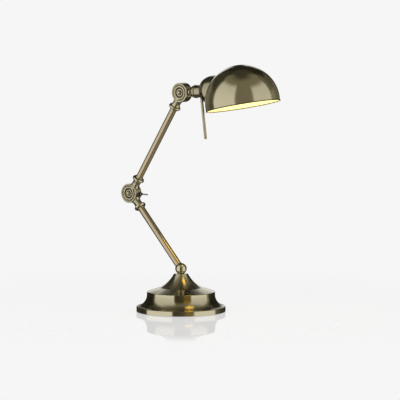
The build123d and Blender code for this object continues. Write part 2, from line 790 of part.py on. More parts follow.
def make_arms():
    """Write both tubes, their collars and flex, and the two friction joints."""
    lower = axis_frame(ELBOW, LOWER_DOWN)
    upper = axis_frame(ELBOW, UPPER_UP)
    upper_top = axis_frame(HEAD, UPPER_DOWN)
    lower_end = LOWER_REACH - BALL_SOCKET
    upper_end = UPPER_REACH - TUBE_SOCKET
    save("lower_tube", arm_tube(lower, TUBE_SOCKET, lower_end))
    save("lower_flex", arm_flex(lower, TUBE_SOCKET + FLEX_MARGIN, lower_end - FLEX_MARGIN))
    save("lower_collar", lower * bead_collar())
    save("upper_tube", arm_tube(upper, TUBE_SOCKET, upper_end))
    save("upper_flex", arm_flex(upper, TUBE_SOCKET + FLEX_MARGIN, upper_end - FLEX_MARGIN))
    save("elbow_collar", upper * bead_collar())
    save("head_collar", upper_top * bead_collar())

    neck = arm_neck()
    elbow_front = front_half(neck, UPPER_UP)
    elbow_front -= neck_bores(UPPER_UP, NECK_WIRE_BORE, TUBE_SOCKET, TUBE_SOCKET)
    elbow_rear = rear_half(neck, LOWER_DOWN)
    elbow_rear -= neck_bores(LOWER_DOWN, NECK_WIRE_BORE, TUBE_SOCKET, TUBE_SOCKET)
    elbow_rear -= toggle_cutout()
    make_joint("elbow", ELBOW, ("elbow_front_half", elbow_front), ("elbow_rear_half", elbow_rear))

    head_front = front_half(neck, UPPER_DOWN)
    head_front -= neck_bores(UPPER_DOWN, NECK_WIRE_BORE, TUBE_SOCKET, TUBE_SOCKET)
    head_rear = rear_half(head_neck(), NECK_RISE)
    head_rear -= neck_bores(NECK_RISE, SPIGOT_BORE, 2 * SPIGOT_END)
    make_joint("head", HEAD, ("head_front_half", head_front), ("head_rear_half", head_rear))


# ---------------------------------------------------------------- head

NECK = axis_frame(HEAD, NECK_RISE)
NECK_DIRECTION = NECK.z_dir
DROP_DIRECTION = NECK.y_dir
RIM_CENTRE = NECK.origin + NECK_DIRECTION * SHADE_REACH + DROP_DIRECTION * SHADE_DROP
TILT = math.radians(SHADE_TILT)
SHADE = Plane(
    origin=RIM_CENTRE,
    x_dir=(math.cos(TILT), 0, math.sin(TILT)),
    z_dir=(-math.sin(TILT), 0, math.cos(TILT)),
)


def dome(inset, low=-BELL_RADIUS):
    """Solid dome a given distance inside the shade's outer face (outside it, if negative)."""
    radius = SHADE_RADIUS - inset
    rise = SHADE_RISE - inset
    edges = [
        Line((0, low), (radius, low)),
        Line((radius, low), (radius, SHADE_SKIRT)),
        EllipticalCenterArc((0, SHADE_SKIRT), radius, rise, 0, arc_size=90),
        Line((0, SHADE_SKIRT + rise), (0, low)),
    ]
    return SHADE * turned(make_face(edges))


def shade():
    """Spun dome with a rolled rim and the hole that the lampholder passes through."""
    bead = outline(
        (SHADE_RADIUS - SHADE_SHEET, 0),
        (SHADE_RADIUS - SHADE_BEAD_EDGE, 0),
        (SHADE_RADIUS, 2 * SHADE_BEAD, SHADE_BEAD_SWELL),
        (SHADE_RADIUS - SHADE_SHEET, 2 * SHADE_BEAD),
    )
    shell = dome(0, 2 * SHADE_BEAD) - dome(SHADE_SHEET) + SHADE * turned(bead)
    return shell - NECK * rod(SHADE_HOLE, SADDLE_START, SEAT_REACH)


def bell_cover():
    """Round-backed bell whose mouth is cut to follow the shade at a small gap."""
    def solid(radius):
        back = Pos(0, 0, BELL_CENTRE) * Sphere(radius)
        return back + rod(radius, BELL_CENTRE, BELL_CENTRE + 2 * BELL_RADIUS)

    shell = NECK * (solid(BELL_RADIUS) - solid(BELL_RADIUS - BELL_SHEET))
    shell -= dome(-BELL_GAP)
    shell -= NECK * rod(NIPPLE_RADIUS, 0, BELL_CENTRE)
    return shell.solids().sort_by(SortBy.VOLUME)[-1]


def holder_collar():
    """Collar that turns on the neck: a nose, a bead, a groove and a barrel cupped to the bell."""
    end = BELL_CENTRE
    nose, nose_root, nose_end = COLLAR_NOSE
    crest, crest_start, crest_end = COLLAR_CREST
    body = turned(
        outline(
            (SPIGOT_RADIUS + RUNNING_GAP, COLLAR_START),
            (nose, COLLAR_START),
            (nose_root, nose_end),
            (crest, crest_start, COLLAR_CREST_SWELL),
            (crest, crest_end),
            COLLAR_GROOVE,
            (COLLAR_RADIUS, COLLAR_SHOULDER),
            (COLLAR_RADIUS, end),
            (NIPPLE_RADIUS, end),
            (NIPPLE_RADIUS, COLLAR_WEB),
            (COLLAR_CAVITY, COLLAR_WEB),
            (COLLAR_CAVITY, BEARING_END),
            (SPIGOT_RADIUS + RUNNING_GAP, BEARING_END),
        )
    )
    body -= Pos(0, 0, BELL_CENTRE) * Sphere(BELL_RADIUS)
    body -= rod_place() * rod(ROD_RADIUS, ROD_SEAT, ROD_LENGTH)
    return NECK * body


def rod_place():
    """Place of the handle rod in the neck's frame: it hangs from the neck, leaning to the shade."""
    return Pos(0, 0, ROD_STATION) * Rot(-90 + ROD_LEAN, 0, 0)


def handle_rod():
    """Straight rod with a rounded end, screwed into the collar from below."""
    profile = outline(
        (0, ROD_SEAT),
        (ROD_RADIUS, ROD_SEAT),
        (ROD_RADIUS, ROD_LENGTH - ROD_RADIUS),
        (0, ROD_LENGTH, cap_bulge(ROD_RADIUS, ROD_RADIUS)),
    )
    return NECK * rod_place() * turned(profile)


def lampholder():
    """Moulded lampholder: domed cap, straight skirt and an open socket for the lamp cap."""
    profile = outline(
        (NIPPLE_RADIUS, HOLDER_START),
        (HOLDER_CAP_RADIUS, HOLDER_START),
        (HOLDER_RADIUS, HOLDER_SHOULDER, HOLDER_SWELL),
        (HOLDER_RADIUS, HOLDER_END),
        (HOLDER_SOCKET_RADIUS, HOLDER_END),
        (HOLDER_SOCKET_RADIUS, HOLDER_END - HOLDER_SOCKET_DEPTH),
        (NIPPLE_RADIUS, HOLDER_END - HOLDER_SOCKET_DEPTH),
    )
    return NECK * turned(profile)


def shade_saddle():
    """Flange round the lampholder, cut to the outside of the shade that it bears on."""
    ring = NECK * tube(SADDLE_RADIUS, HOLDER_RADIUS, SADDLE_START, SEAT_REACH)
    ring -= dome(0)
    return ring.solids().sort_by_distance(NECK.origin)[0]


def shade_ring():
    """Ring that screws on the lampholder and clamps the shade from inside."""
    ring = NECK * tube(RING_RADIUS, HOLDER_RADIUS, SADDLE_START, RING_END)
    return ring & dome(SHADE_SHEET)


def bulb_glass():
    """Blown globe and neck, open where it enters its cap."""
    flare, flare_end = LAMP_FLARE

    def solid(inset):
        globe = Pos(0, 0, LAMP_GLOBE_CENTRE) * Sphere(LAMP_GLOBE_RADIUS - inset)
        neck = turned(
            outline(
                (0, LAMP_ROOT),
                (CAP_RADIUS - inset, LAMP_ROOT),
                (CAP_RADIUS - inset, CAP_END),
                (LAMP_NECK_RADIUS - inset, LAMP_NECK_END),
                (flare - inset, flare_end),
                (0, LAMP_GLOBE_CENTRE),
            )
        )
        return globe + neck

    return NECK * (solid(0) - solid(LAMP_GLASS))


def bulb_cap():
    """Screw cap of the lamp with its insulator and centre contact."""
    profile = outline(
        (0, CAP_START),
        (CAP_CONTACT_RADIUS, CAP_START),
        (CAP_CONTACT_RADIUS, CAP_START + CAP_CONTACT_HEIGHT),
        (CAP_INNER, CAP_SHOULDER),
        (CAP_INNER, CAP_FLOOR),
        (CAP_SHELL, CAP_FLOOR),
        (CAP_SHELL, CAP_END),
        (CAP_RADIUS, CAP_END),
        (CAP_RADIUS, LAMP_ROOT),
        (0, LAMP_ROOT),
    )
    return NECK * turned(profile)


def make_head():
    """Write everything that the neck carries."""
    washer_end = BEARING_END + SWIVEL_GAP + NECK_WASHER
    washer = tube(NECK_NUT_FLATS / 2, SPIGOT_RADIUS, BEARING_END + SWIVEL_GAP, washer_end)
    save("neck_spring_washer", NECK * washer)
    nut = hexagon(NECK_NUT_FLATS, washer_end, washer_end + NECK_NUT_HEIGHT)
    save("neck_nut", NECK * (nut - rod(SPIGOT_RADIUS, 0, BELL_CENTRE)))
    save("holder_collar", holder_collar())
    save("holder_nipple", NECK * tube(NIPPLE_RADIUS, NIPPLE_BORE, COLLAR_WEB, HOLDER_NIPPLE_END))
    nut_start = BELL_CENTRE - BELL_RADIUS + BELL_SHEET + BELL_NUT_SEAT
    bell_nut = hexagon(BELL_NUT_FLATS, nut_start, nut_start + BELL_NUT_HEIGHT)
    save("bell_nut", NECK * (bell_nut - rod(NIPPLE_RADIUS, 0, BELL_CENTRE)))
    save("bell_cover", bell_cover())
    save("lampholder", lampholder())
    save("shade_saddle", shade_saddle())
    save("shade_ring", shade_ring())
    save("shade", shade())
    save("bulb_glass", bulb_glass())
    save("bulb_cap", bulb_cap())
    save("handle_rod", handle_rod())


os.makedirs("parts", exist_ok=True)
make_base()
make_swivel()
make_arms()
make_toggle()
make_head()
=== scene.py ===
"""Looks of a jointed desk lamp in antique brass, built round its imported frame.

Lengths in the classes below are millimetres, in the frame of the piece that they belong to, and
become metres where a mesh is made. Places and axes come from the frame's joints.
"""

import json
import logging
import math
from dataclasses import dataclass, field, replace
from enum import Enum
from typing import Any, Iterable, Optional

import bpy
import numpy as np
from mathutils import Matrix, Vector


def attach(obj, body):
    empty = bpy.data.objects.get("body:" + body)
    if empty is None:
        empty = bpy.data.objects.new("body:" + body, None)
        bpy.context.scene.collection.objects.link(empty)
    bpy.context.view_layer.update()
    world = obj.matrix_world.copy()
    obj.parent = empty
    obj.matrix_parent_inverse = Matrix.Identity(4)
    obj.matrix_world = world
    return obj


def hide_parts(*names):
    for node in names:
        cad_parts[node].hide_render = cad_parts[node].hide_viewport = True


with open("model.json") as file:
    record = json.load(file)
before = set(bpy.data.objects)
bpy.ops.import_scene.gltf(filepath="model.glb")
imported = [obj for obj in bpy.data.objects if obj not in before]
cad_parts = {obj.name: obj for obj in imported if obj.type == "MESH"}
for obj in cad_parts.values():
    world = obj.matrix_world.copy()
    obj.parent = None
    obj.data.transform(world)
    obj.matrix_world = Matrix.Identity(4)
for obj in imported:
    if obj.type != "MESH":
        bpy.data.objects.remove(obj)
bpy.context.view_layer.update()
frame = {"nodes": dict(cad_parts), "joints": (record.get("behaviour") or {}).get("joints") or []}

MM = 0.001
AROUND = 96
AROUND_LARGE = 192
CORNER_STEPS = 5
SUPPORT = 0.25
SUPPORT_SHARE = 0.4
CRISP = 0.1
SOFT = 0.15
EASED = 0.2
RELIEF_REACH = 0.9
SHARP_ANGLE = math.radians(38)
SAME_POINT = 1e-6
QUARTER = math.pi / 2
UP = np.array([0.0, 0.0, 1.0])
EAST = np.array([1.0, 0.0, 0.0])
TURNING_UV = "turning"
RELIEF = "relief"
WALL_LIGHT = "wall"

Array = np.ndarray
Piece = bpy.types.Object
Socket = bpy.types.NodeSocket

log = logging.getLogger("lamp")


# ---- outlines

def corner_array(*corners: Iterable) -> Array:
    """Corners as rows of radius, station and rounding; one given as a pair has no rounding.

    Args:
        corners: pairs or triples, or arrays of pairs for curved stretches.
    Returns:
        An array of three columns.
    """
    blocks = [np.atleast_2d(np.asarray(corner, float)) for corner in corners]
    return np.vstack([np.pad(block, ((0, 0), (0, 3 - block.shape[1]))) for block in blocks])


def arc(start: tuple, end: tuple, sag: float, steps: int = 14) -> Array:
    """Circular arc between two points of an outline.

    The radius is (chord^2 / 4 + sag^2) / (2 sag), and the points lie at equal angles about the
    centre. A positive sag swells to the right of travel.

    Args:
        start: radius and station where the arc starts.
        end: radius and station where it ends.
        sag: height of the arc over its chord.
        steps: number of stretches.
    Returns:
        The points of the arc, both ends included.
    """
    start, end = np.asarray(start, float), np.asarray(end, float)
    length = math.dist(start, end)
    forward = (end - start) / length
    right = np.array([forward[1], -forward[0]])
    radius = (length**2 / 4 + sag**2) / (2 * abs(sag))
    half = math.atan2(length / 2, radius - abs(sag))
    turn = np.linspace(-half, half, steps + 1)[:, None]
    out = np.sign(sag) * (np.cos(turn) - math.cos(half)) * radius
    return (start + end) / 2 + forward * radius * np.sin(turn) + right * out


def oval(radius: float, rise: float, centre: float, turn: tuple, count: int) -> Array:
    """Points (radius cos t, centre + rise sin t) of an ellipse about a point of the axis.

    Args:
        radius: half of its width.
        rise: half of its height.
        centre: station of its centre.
        turn: first and last angle t; at a quarter turn the point is on the axis.
        count: number of points.
    Returns:
        The points.
    """
    angle = np.linspace(*turn, count)
    points = np.column_stack([np.cos(angle) * radius, centre + np.sin(angle) * rise])
    points[np.abs(points[:, 0]) < SAME_POINT, 0] = 0.0
    return points


def ease(value: Array, edge: float, soft: float) -> Array:
    """0 below an edge and 1 above it, eased over a width."""
    ramp = np.clip((value - edge) / soft + 0.5, 0.0, 1.0)
    return ramp * ramp * (3 - 2 * ramp)


def run_along(line: Array) -> Array:
    """Distance of each point of an outline from its first, along the outline."""
    return np.concatenate([[0.0], np.cumsum(np.hypot(*np.diff(line, axis=0).T))])


def rounded(corners: Array, closed: bool) -> Array:
    """Outline with every corner eased by a quadratic curve.

    A corner P with rounding t becomes (1-s)^2 A + 2s(1-s) P + s^2 B, where A and B lie t before
    and after P. One support point on each side keeps the stretches beside it flat when shaded.

    Args:
        corners: rows of radius, station and rounding.
        closed: whether the last corner joins the first.
    Returns:
        The points of the outline.
    """
    points, rounding = corners[:, :2], corners[:, 2].copy()
    if not closed:
        rounding[[0, -1]] = 0.0
    before = np.roll(points, 1, axis=0) - points
    after = np.roll(points, -1, axis=0) - points
    length = np.hypot(*after.T)
    to_before = before / np.maximum(np.hypot(*before.T), SAME_POINT)[:, None]
    to_after = after / np.maximum(length, SAME_POINT)[:, None]
    spare = length - rounding - np.roll(rounding, -1)
    brace = np.clip(SUPPORT_SHARE * spare, 0.0, SUPPORT)
    brace_in, brace_out = (np.roll(brace, k) * (rounding > 0) for k in (1, 0))
    first = points + to_before * rounding[:, None]
    last = points + to_after * rounding[:, None]
    s = np.linspace(0, 1, CORNER_STEPS + 1)[:, None, None]
    curve = (1 - s) ** 2 * first + 2 * s * (1 - s) * points + s**2 * last
    lead_in = (first + to_before * brace_in[:, None])[None]
    lead_out = (last + to_after * brace_out[:, None])[None]
    line = np.concatenate([lead_in, curve, lead_out]).transpose(1, 0, 2).reshape(-1, 2)
    gap = np.hypot(*np.diff(line, axis=0).T)
    line = line[np.concatenate([[True], gap > SAME_POINT])]
    if closed and math.dist(line[0], line[-1]) < SAME_POINT:
        line = line[:-1]
    return line


def walled(corners: Array, wall: float, edge: float) -> Array:
    """Closed corners of a sheet: out along one face and back along the other, mitred.

    The inner corner is P + wall (a + b) / (1 + a.b), with a and b the left normals of the
    stretches before and after P.

    Args:
        corners: corners of the outer face, clear of the axis.
        wall: thickness of the sheet.
        edge: rounding of its edges.
    Returns:
        Rows of radius, station and rounding for a closed outline.
    """
    outer, inner = corners.copy(), corners.copy()
    step = np.diff(outer[:, :2], axis=0)
    step /= np.hypot(*step.T)[:, None]
    left = np.column_stack([-step[:, 1], step[:, 0]])
    before, after = np.vstack([left[:1], left]), np.vstack([left, left[-1:]])
    inner[:, :2] += wall * (before + after) / (1 + np.sum(before * after, axis=1))[:, None]
    inner[:, 2] = np.where(outer[:, 2] > 0, np.maximum(outer[:, 2] - wall, EASED), 0.0)
    outer[[0, -1], 2] = inner[[0, -1], 2] = edge
    return np.vstack([outer, inner[::-1]])


def relief_of(line: Array, closed: bool) -> Array:
    """How much an outline turns near each point: above 0 on ridges, below 0 in hollows.

    Each turn is spread over its neighbours by a bell curve of the distance along the outline.

    Args:
        line: points of the outline.
        closed: whether the last point joins the first.
    Returns:
        One value a point, from -1 to 1.
    """
    ahead = np.roll(line, -1, axis=0) - line
    behind = line - np.roll(line, 1, axis=0)
    cross = behind[:, 0] * ahead[:, 1] - behind[:, 1] * ahead[:, 0]
    turn = np.arctan2(cross, np.sum(behind * ahead, axis=1))
    if not closed:
        turn[[0, -1]] = 0.0
    run = run_along(line)
    near = np.exp(-(((run[:, None] - run[None, :]) / RELIEF_REACH) ** 2))
    return np.clip(near @ turn, -1.0, 1.0)


# ---- places and meshes

def unit(direction: Array) -> Array:
    """The same direction at length 1."""
    return direction / np.linalg.norm(direction)


@dataclass(frozen=True)
class Place:
    """Where a piece is made: an origin in metres, the axis that it is turned about, and a side."""

    origin: Array
    along: Array
    side: Array

    def put(self, side: Array, cross: Array, along: Array) -> Array:
        """Points in metres for local lengths in millimetres.

        Args:
            side: lengths along the side.
            cross: lengths square to the side and the axis.
            along: lengths along the axis.
        Returns:
            The points.
        """
        third = np.cross(self.along, self.side)
        parts = (side, self.side), (cross, third), (along, self.along)
        return self.origin + MM * sum(np.asarray(size)[..., None] * axis for size, axis in parts)

    def swept(self, radius: Array, station: Array, angle: Array) -> Array:
        """Points in metres at a radius, a station and an angle about the axis."""
        return self.put(radius * np.cos(angle), radius * np.sin(angle), station + 0 * angle)

    def measured(self, points: Array) -> tuple:
        """Where points lie about the axis.

        Args:
            points: the points, in metres.
        Returns:
            Their radius about the axis and their station along it, in millimetres.
        """
        local = (points - self.origin) / MM
        station = local @ self.along
        return np.linalg.norm(local - station[..., None] * self.along, axis=-1), station


def circle(count: int = AROUND) -> Array:
    """Equal angles once round in one row, without the last."""
    return np.linspace(0, 2 * math.pi, count, endpoint=False)[None, :]


def read_each(
    items: bpy.types.bpy_prop_collection, key: str, kind: type, width: int = 1
) -> Array:
    """One property of every item of a mesh.

    Args:
        items: the vertices, loops or other items.
        key: name of the property.
        kind: type of its numbers.
        width: how many numbers an item has.
    Returns:
        One number an item, or one row where the width is over 1.
    """
    values = np.zeros(len(items) * width, kind)
    items.foreach_get(key, values)
    return values.reshape(-1, width) if width > 1 else values


def new_object(name: str, data: bpy.types.ID) -> Piece:
    """A new object, linked to the scene.

    Args:
        name: its name.
        data: its mesh, lamp or camera.
    Returns:
        The object.
    """
    made = bpy.data.objects.new(name, data)
    bpy.context.scene.collection.objects.link(made)
    return made


def grid_quads(index: Array, ring: bool) -> Array:
    """Faces of four between neighbours of a grid whose columns close round.

    Args:
        index: grid of vertex numbers.
        ring: whether the last row joins the first.
    Returns:
        One row of four vertex numbers a face.
    """
    lower, upper = (index, np.roll(index, -1, 0)) if ring else (index[:-1], index[1:])
    corners = [lower, np.roll(lower, -1, 1), np.roll(upper, -1, 1), upper]
    return np.stack(corners, -1).reshape(-1, 4)


def write_turning_map(
    mesh: bpy.types.Mesh, column: Array, polar: Array, run: Array, columns: int
) -> None:
    """Map whose first number goes once round the axis and whose second runs along the outline.

    In a face across the seam the first column counts as one full turn, and a pole takes the mean
    column of its face, so that the map never runs backwards.

    Args:
        mesh: the mesh.
        column: column of the grid that each vertex came from.
        polar: whether each vertex is a pole.
        run: second number of each vertex.
        columns: number of columns once round.
    """
    loops = read_each(mesh.loops, "vertex_index", np.int32)
    size = read_each(mesh.polygons, "loop_total", np.int32)
    start = np.concatenate([[0], np.cumsum(size)[:-1]])
    place, plain = column[loops].astype(float), ~polar[loops]
    last = np.repeat(np.maximum.reduceat(np.where(plain, place, -1.0), start), size)
    place = np.where(plain & (place == 0) & (last == columns - 1), float(columns), place)
    total = np.add.reduceat(np.where(plain, place, 0.0), start)
    count = np.maximum(np.add.reduceat(plain.astype(float), start), 1.0)
    place = np.where(plain, place, np.repeat(total / count, size))
    pairs = np.column_stack([place / columns, run[loops]])
    layer = mesh.uv_layers.new(name=TURNING_UV)
    layer.data.foreach_set("uv", pairs.ravel().astype(np.float32))


def grid_mesh(
    name: str, grid: Array, ring: bool, relief: Array, run: Array
) -> Piece:
    """Mesh of a grid of points whose columns close round.

    Rows that have shrunk to one point become poles, so the surface has no open end. Its faces
    are turned outwards by the sign of the volume that they enclose.

    Args:
        name: name of the piece.
        grid: points of shape (rows, columns, 3), in metres.
        ring: whether the last row joins the first.
        relief: one value a row for the relief attribute.
        run: distance of each row along the outline, in millimetres, for the turning map.
    Returns:
        The new object, linked to the scene.
    """
    rows, columns = grid.shape[:2]
    pole = np.ptp(grid, axis=1).max(axis=1) < SAME_POINT * MM
    index = np.arange(rows * columns).reshape(rows, columns)
    index[pole] = index[pole][:, :1]
    used, flat = np.unique(grid_quads(index, ring), return_inverse=True)
    quads = flat.reshape(-1, 4)
    points = grid.reshape(-1, 3)[used]
    one, two, three, four = (points[quads[:, k]] for k in range(4))
    volume = np.sum(one * np.cross(two, three)) + np.sum(one * np.cross(three, four))
    if volume < 0:
        quads = quads[:, ::-1]
    faces = [tuple(dict.fromkeys(quad)) for quad in quads.tolist()]
    mesh = bpy.data.meshes.new(name)
    mesh.from_pydata(points, [], [face for face in faces if len(face) > 2])
    mesh.shade_smooth()
    mesh.set_sharp_from_angle(angle=SHARP_ANGLE)
    row = used // columns
    value = mesh.attributes.new(RELIEF, "FLOAT", "POINT")
    value.data.foreach_set("value", relief[row].astype(np.float32))
    write_turning_map(mesh, used % columns, pole[row], run[row] * MM, columns)
    return new_object(name, mesh)


def turned(
    name: str,
    corners: Array,
    place: Place,
    closed: bool = False,
    around: int = AROUND,
    flats: Optional[float] = None,
) -> Piece:
    """A piece turned on a lathe: (r, z) goes to z along the axis and r about it at every angle.

    Where it is milled to a hexagon, r is the lesser of the turned radius and that of the flats,
    half their width over the cosine of the angle from the middle of a flat.

    Args:
        name: name of the piece.
        corners: rows of radius, station and rounding, out, up and back in.
        place: axis that it is turned about.
        closed: whether the outline is a ring clear of the axis.
        around: number of facets round.
        flats: width across the flats of a hexagon.
    Returns:
        The new object.
    """
    line = rounded(corners, closed)
    angle, radius = circle(around), line[:, :1]
    if flats is not None:
        sector = math.pi / 3
        radius = np.minimum(radius, flats / 2 / np.cos((angle + sector / 2) % sector - sector / 2))
    grid = place.swept(radius, line[:, 1:], angle)
    return grid_mesh(name, grid, closed, relief_of(line, closed), run_along(line))


def joined(name: str, pieces: list) -> Piece:
    """One object from several, which are used up; maps and attributes carry over.

    Args:
        name: name of the new piece.
        pieces: the objects.
    Returns:
        The object that is left.
    """
    bpy.ops.object.select_all(action="DESELECT")
    for piece in pieces:
        piece.select_set(True)
    bpy.context.view_layer.objects.active = pieces[0]
    bpy.ops.object.join()
    pieces[0].name = pieces[0].data.name = name
    return pieces[0]


# ---- finishes

class Grain(Enum):
    """Which way tool marks run, as the turn from the turning map to the way that light smears."""

    SPUN = 0.25
    DRAWN = 0.0
    NONE = None


def grey(level: float) -> tuple:
    """A colour of equal parts, with full cover."""
    return (level, level, level, 1.0)


class Recipe:
    """A node tree while it is built, of a material or of the world."""

    def __init__(self, owner: bpy.types.ID, kind: str = "Material") -> None:
        """Clear the owner's tree down to an output.

        Args:
            owner: the material or the world.
            kind: which of the two it is.
        """
        owner.use_nodes = True
        self.owner, self.tree = owner, owner.node_tree
        self.tree.nodes.clear()
        self.output = self.add(f"Output{kind}")

    @classmethod
    def named(cls, name: str) -> "Recipe":
        """Recipe of a new material."""
        return cls(bpy.data.materials.new(name))

    def fill(self, socket: Socket, value: Any) -> None:
        """Give a socket a value or a link.

        Args:
            socket: the input.
            value: a value, an output socket, or a node, whose first output is meant.
        """
        if isinstance(value, bpy.types.Node):
            value = value.outputs[0]
        if isinstance(value, Socket):
            self.tree.links.new(value, socket)
        elif socket.type == "RGBA" and len(value) == 3:
            socket.default_value = (*value, 1.0)
        else:
            socket.default_value = value

    def add(self, kind: str, values: Optional[dict] = None, **settings: Any) -> bpy.types.Node:
        """A new node with its properties and its sockets set.

        Args:
            kind: Blender's name of the node type, without the word ShaderNode.
            values: socket name or number to what fills it.
            settings: properties of the node.
        Returns:
            The node.
        """
        node = self.tree.nodes.new(f"ShaderNode{kind}")
        for key, value in settings.items():
            setattr(node, key, value)
        for key, value in (values or {}).items():
            self.fill(node.inputs[key], value)
        return node

    def maths(self, operation: str, *values: Any, clamp: bool = False) -> Socket:
        """Result of a sum on values or sockets."""
        inputs = dict(enumerate(values))
        return self.add("Math", inputs, operation=operation, use_clamp=clamp).outputs[0]

    def fade(self, distance: Socket, reach: tuple, most: float) -> Socket:
        """A share that falls smoothly to 0 between two distances.

        Args:
            distance: what it falls with.
            reach: the two distances.
            most: the share up to the first.
        Returns:
            The share.
        """
        values = {"Value": distance, "From Min": reach[0], "From Max": reach[1]}
        values.update({"To Min": most, "To Max": 0.0})
        return self.add("MapRange", values, interpolation_type="SMOOTHSTEP").outputs["Result"]

    def noise(self, scale: float, detail: float, vector: Optional[Socket] = None) -> Socket:
        """Value of a noise.

        Args:
            scale: how fine it is.
            detail: how many finer layers it has.
            vector: where it is read; object coordinates if none is given.
        Returns:
            The value, from 0 to 1.
        """
        source = vector or self.add("TexCoord").outputs["Object"]
        values = {"Vector": source, "Scale": scale, "Detail": detail}
        return self.add("TexNoise", values).outputs["Fac"]

    def turning(self) -> tuple:
        """The two numbers of the turning map: round the axis, and along the outline."""
        parts = self.add("SeparateXYZ", {0: self.add("UVMap", uv_map=TURNING_UV)})
        return parts.outputs[0], parts.outputs[1]

    def bump(self, strength: float, distance: float, height: Socket) -> bpy.types.Node:
        """A normal tilted by a height."""
        return self.add("Bump", {"Strength": strength, "Distance": distance, "Height": height})

    def blend(self, factor: Socket, low: Any, high: Any) -> Socket:
        """Colour between two others.

        Args:
            factor: share of the second.
            low: first colour, or its socket.
            high: second colour, or its socket.
        Returns:
            The colour.
        """
        node = self.add("Mix", data_type="RGBA")
        for key, value in (("Factor", factor), ("A", low), ("B", high)):
            self.fill(next(s for s in node.inputs if s.name == key and s.enabled), value)
        return next(s for s in node.outputs if s.enabled)

    def surface(self, values: dict) -> bpy.types.Material:
        """The material, with a principled shader that has these values."""
        return self.finish(self.add("BsdfPrincipled", values))

    def finish(self, shader: bpy.types.Node) -> bpy.types.ID:
        """The owner, with its shader on the output."""
        self.fill(self.output.inputs["Surface"], shader)
        return self.owner


@dataclass(frozen=True)
class AgedBrass:
    """Brass toned dark, rubbed back on its ridges and lacquered."""

    name: str
    grain: Grain = Grain.SPUN
    bright: tuple = (0.58, 0.53, 0.365)
    toned: tuple = (0.40, 0.355, 0.225)
    hollow: tuple = (0.07, 0.06, 0.035)
    roughness: float = 0.16
    streak: float = 0.5
    tone_depth: float = 1.25
    cloud: tuple = (34.0, 4.0)
    fleck: tuple = (420.0, 2.0)
    rubbed: float = 0.42
    rubbed_by_cloud: float = 0.55
    rubbed_by_relief: float = 0.35
    rubbed_by_fleck: float = 0.06
    rough_by_fleck: float = 0.03
    rough_by_hollow: float = 0.22
    lacquer: float = 0.12
    lacquer_roughness: float = 0.12
    marks: float = 0.015
    mark_height: float = 0.00004
    mark_pitch: float = 0.28
    marks_round: tuple = (6.0, 110.0)
    marks_along: float = 30.0
    mark_noise: tuple = (1.0, 3.0)

    def material(self) -> bpy.types.Material:
        """Relief rubs the tone off ridges and leaves it in hollows.

        Returns:
            The material.
        """
        recipe = Recipe.named(self.name)
        relief = recipe.add("Attribute", attribute_name=RELIEF).outputs["Fac"]
        cloud, fleck = recipe.noise(*self.cloud), recipe.noise(*self.fleck)
        rub = recipe.maths("MULTIPLY_ADD", cloud, self.rubbed_by_cloud, self.rubbed)
        rub = recipe.maths("MULTIPLY_ADD", relief, self.rubbed_by_relief, rub)
        rub = recipe.maths("MULTIPLY_ADD", fleck, self.rubbed_by_fleck, rub, clamp=True)
        ridge = recipe.blend(rub, self.toned, self.bright)
        depth = recipe.maths("MULTIPLY", relief, -self.tone_depth, clamp=True)
        least_rough = self.roughness - self.rough_by_fleck / 2
        rough = recipe.maths("MULTIPLY_ADD", fleck, self.rough_by_fleck, least_rough)
        values = {
            "Base Color": recipe.blend(depth, ridge, self.hollow),
            "Metallic": 1.0,
            "Roughness": recipe.maths("MULTIPLY_ADD", depth, self.rough_by_hollow, rough),
            "Coat Weight": self.lacquer,
            "Coat Roughness": self.lacquer_roughness,
        }
        if self.grain is not Grain.NONE:
            lines = self.tool_marks(recipe)
            values["Anisotropic"] = self.streak
            values["Anisotropic Rotation"] = self.grain.value
            values["Tangent"] = recipe.add("Tangent", direction_type="UV_MAP", uv_map=TURNING_UV)
            values["Normal"] = recipe.bump(self.marks, self.mark_height, lines)
        return recipe.surface(values)

    def tool_marks(self, recipe: Recipe) -> Socket:
        """Height of the fine lines that a lathe or a drawing die leaves.

        Args:
            recipe: the node tree.
        Returns:
            A noise drawn out along the marks.
        """
        turn, run = recipe.turning()
        if self.grain is Grain.SPUN:
            across = recipe.maths("MULTIPLY", run, 1.0 / (self.mark_pitch * MM))
            along = recipe.maths("MULTIPLY", turn, self.marks_round[0])
        else:
            across = recipe.maths("MULTIPLY", turn, self.marks_round[1])
            along = recipe.maths("MULTIPLY", run, self.marks_along)
        drawn_out = recipe.add("CombineXYZ", {0: across, 1: along}).outputs[0]
        return recipe.noise(*self.mark_noise, drawn_out)


@dataclass(frozen=True)
class PlainFinish:
    """A finish with mottled colour and a fine grain: steel, plastic, rubber, felt and the like."""

    name: str
    colour: tuple
    roughness: float
    metallic: float = 0.0
    mottle: float = 0.12
    cloud: tuple = (60.0, 3.0)
    grain_scale: float = 900.0
    grain_detail: float = 2.0
    grain_depth: float = 0.00003
    grain_strength: float = 0.35
    rough_by_grain: float = 0.10
    sheen: float = 0.0

    def material(self) -> bpy.types.Material:
        """Noise varies the colour, the roughness and the height.

        Returns:
            The material.
        """
        recipe = Recipe.named(self.name)
        cloud, grain = recipe.noise(*self.cloud), recipe.noise(self.grain_scale, self.grain_detail)
        low, high = (
            tuple(min(c * (1 + way * self.mottle), 1.0) for c in self.colour) for way in (-1, 1)
        )
        least_rough = self.roughness - self.rough_by_grain / 2
        values = {
            "Base Color": recipe.blend(cloud, low, high),
            "Metallic": self.metallic,
            "Roughness": recipe.maths("MULTIPLY_ADD", grain, self.rough_by_grain, least_rough),
            "Sheen Weight": self.sheen,
            "Normal": recipe.bump(self.grain_strength, self.grain_depth, grain),
        }
        return recipe.surface(values)


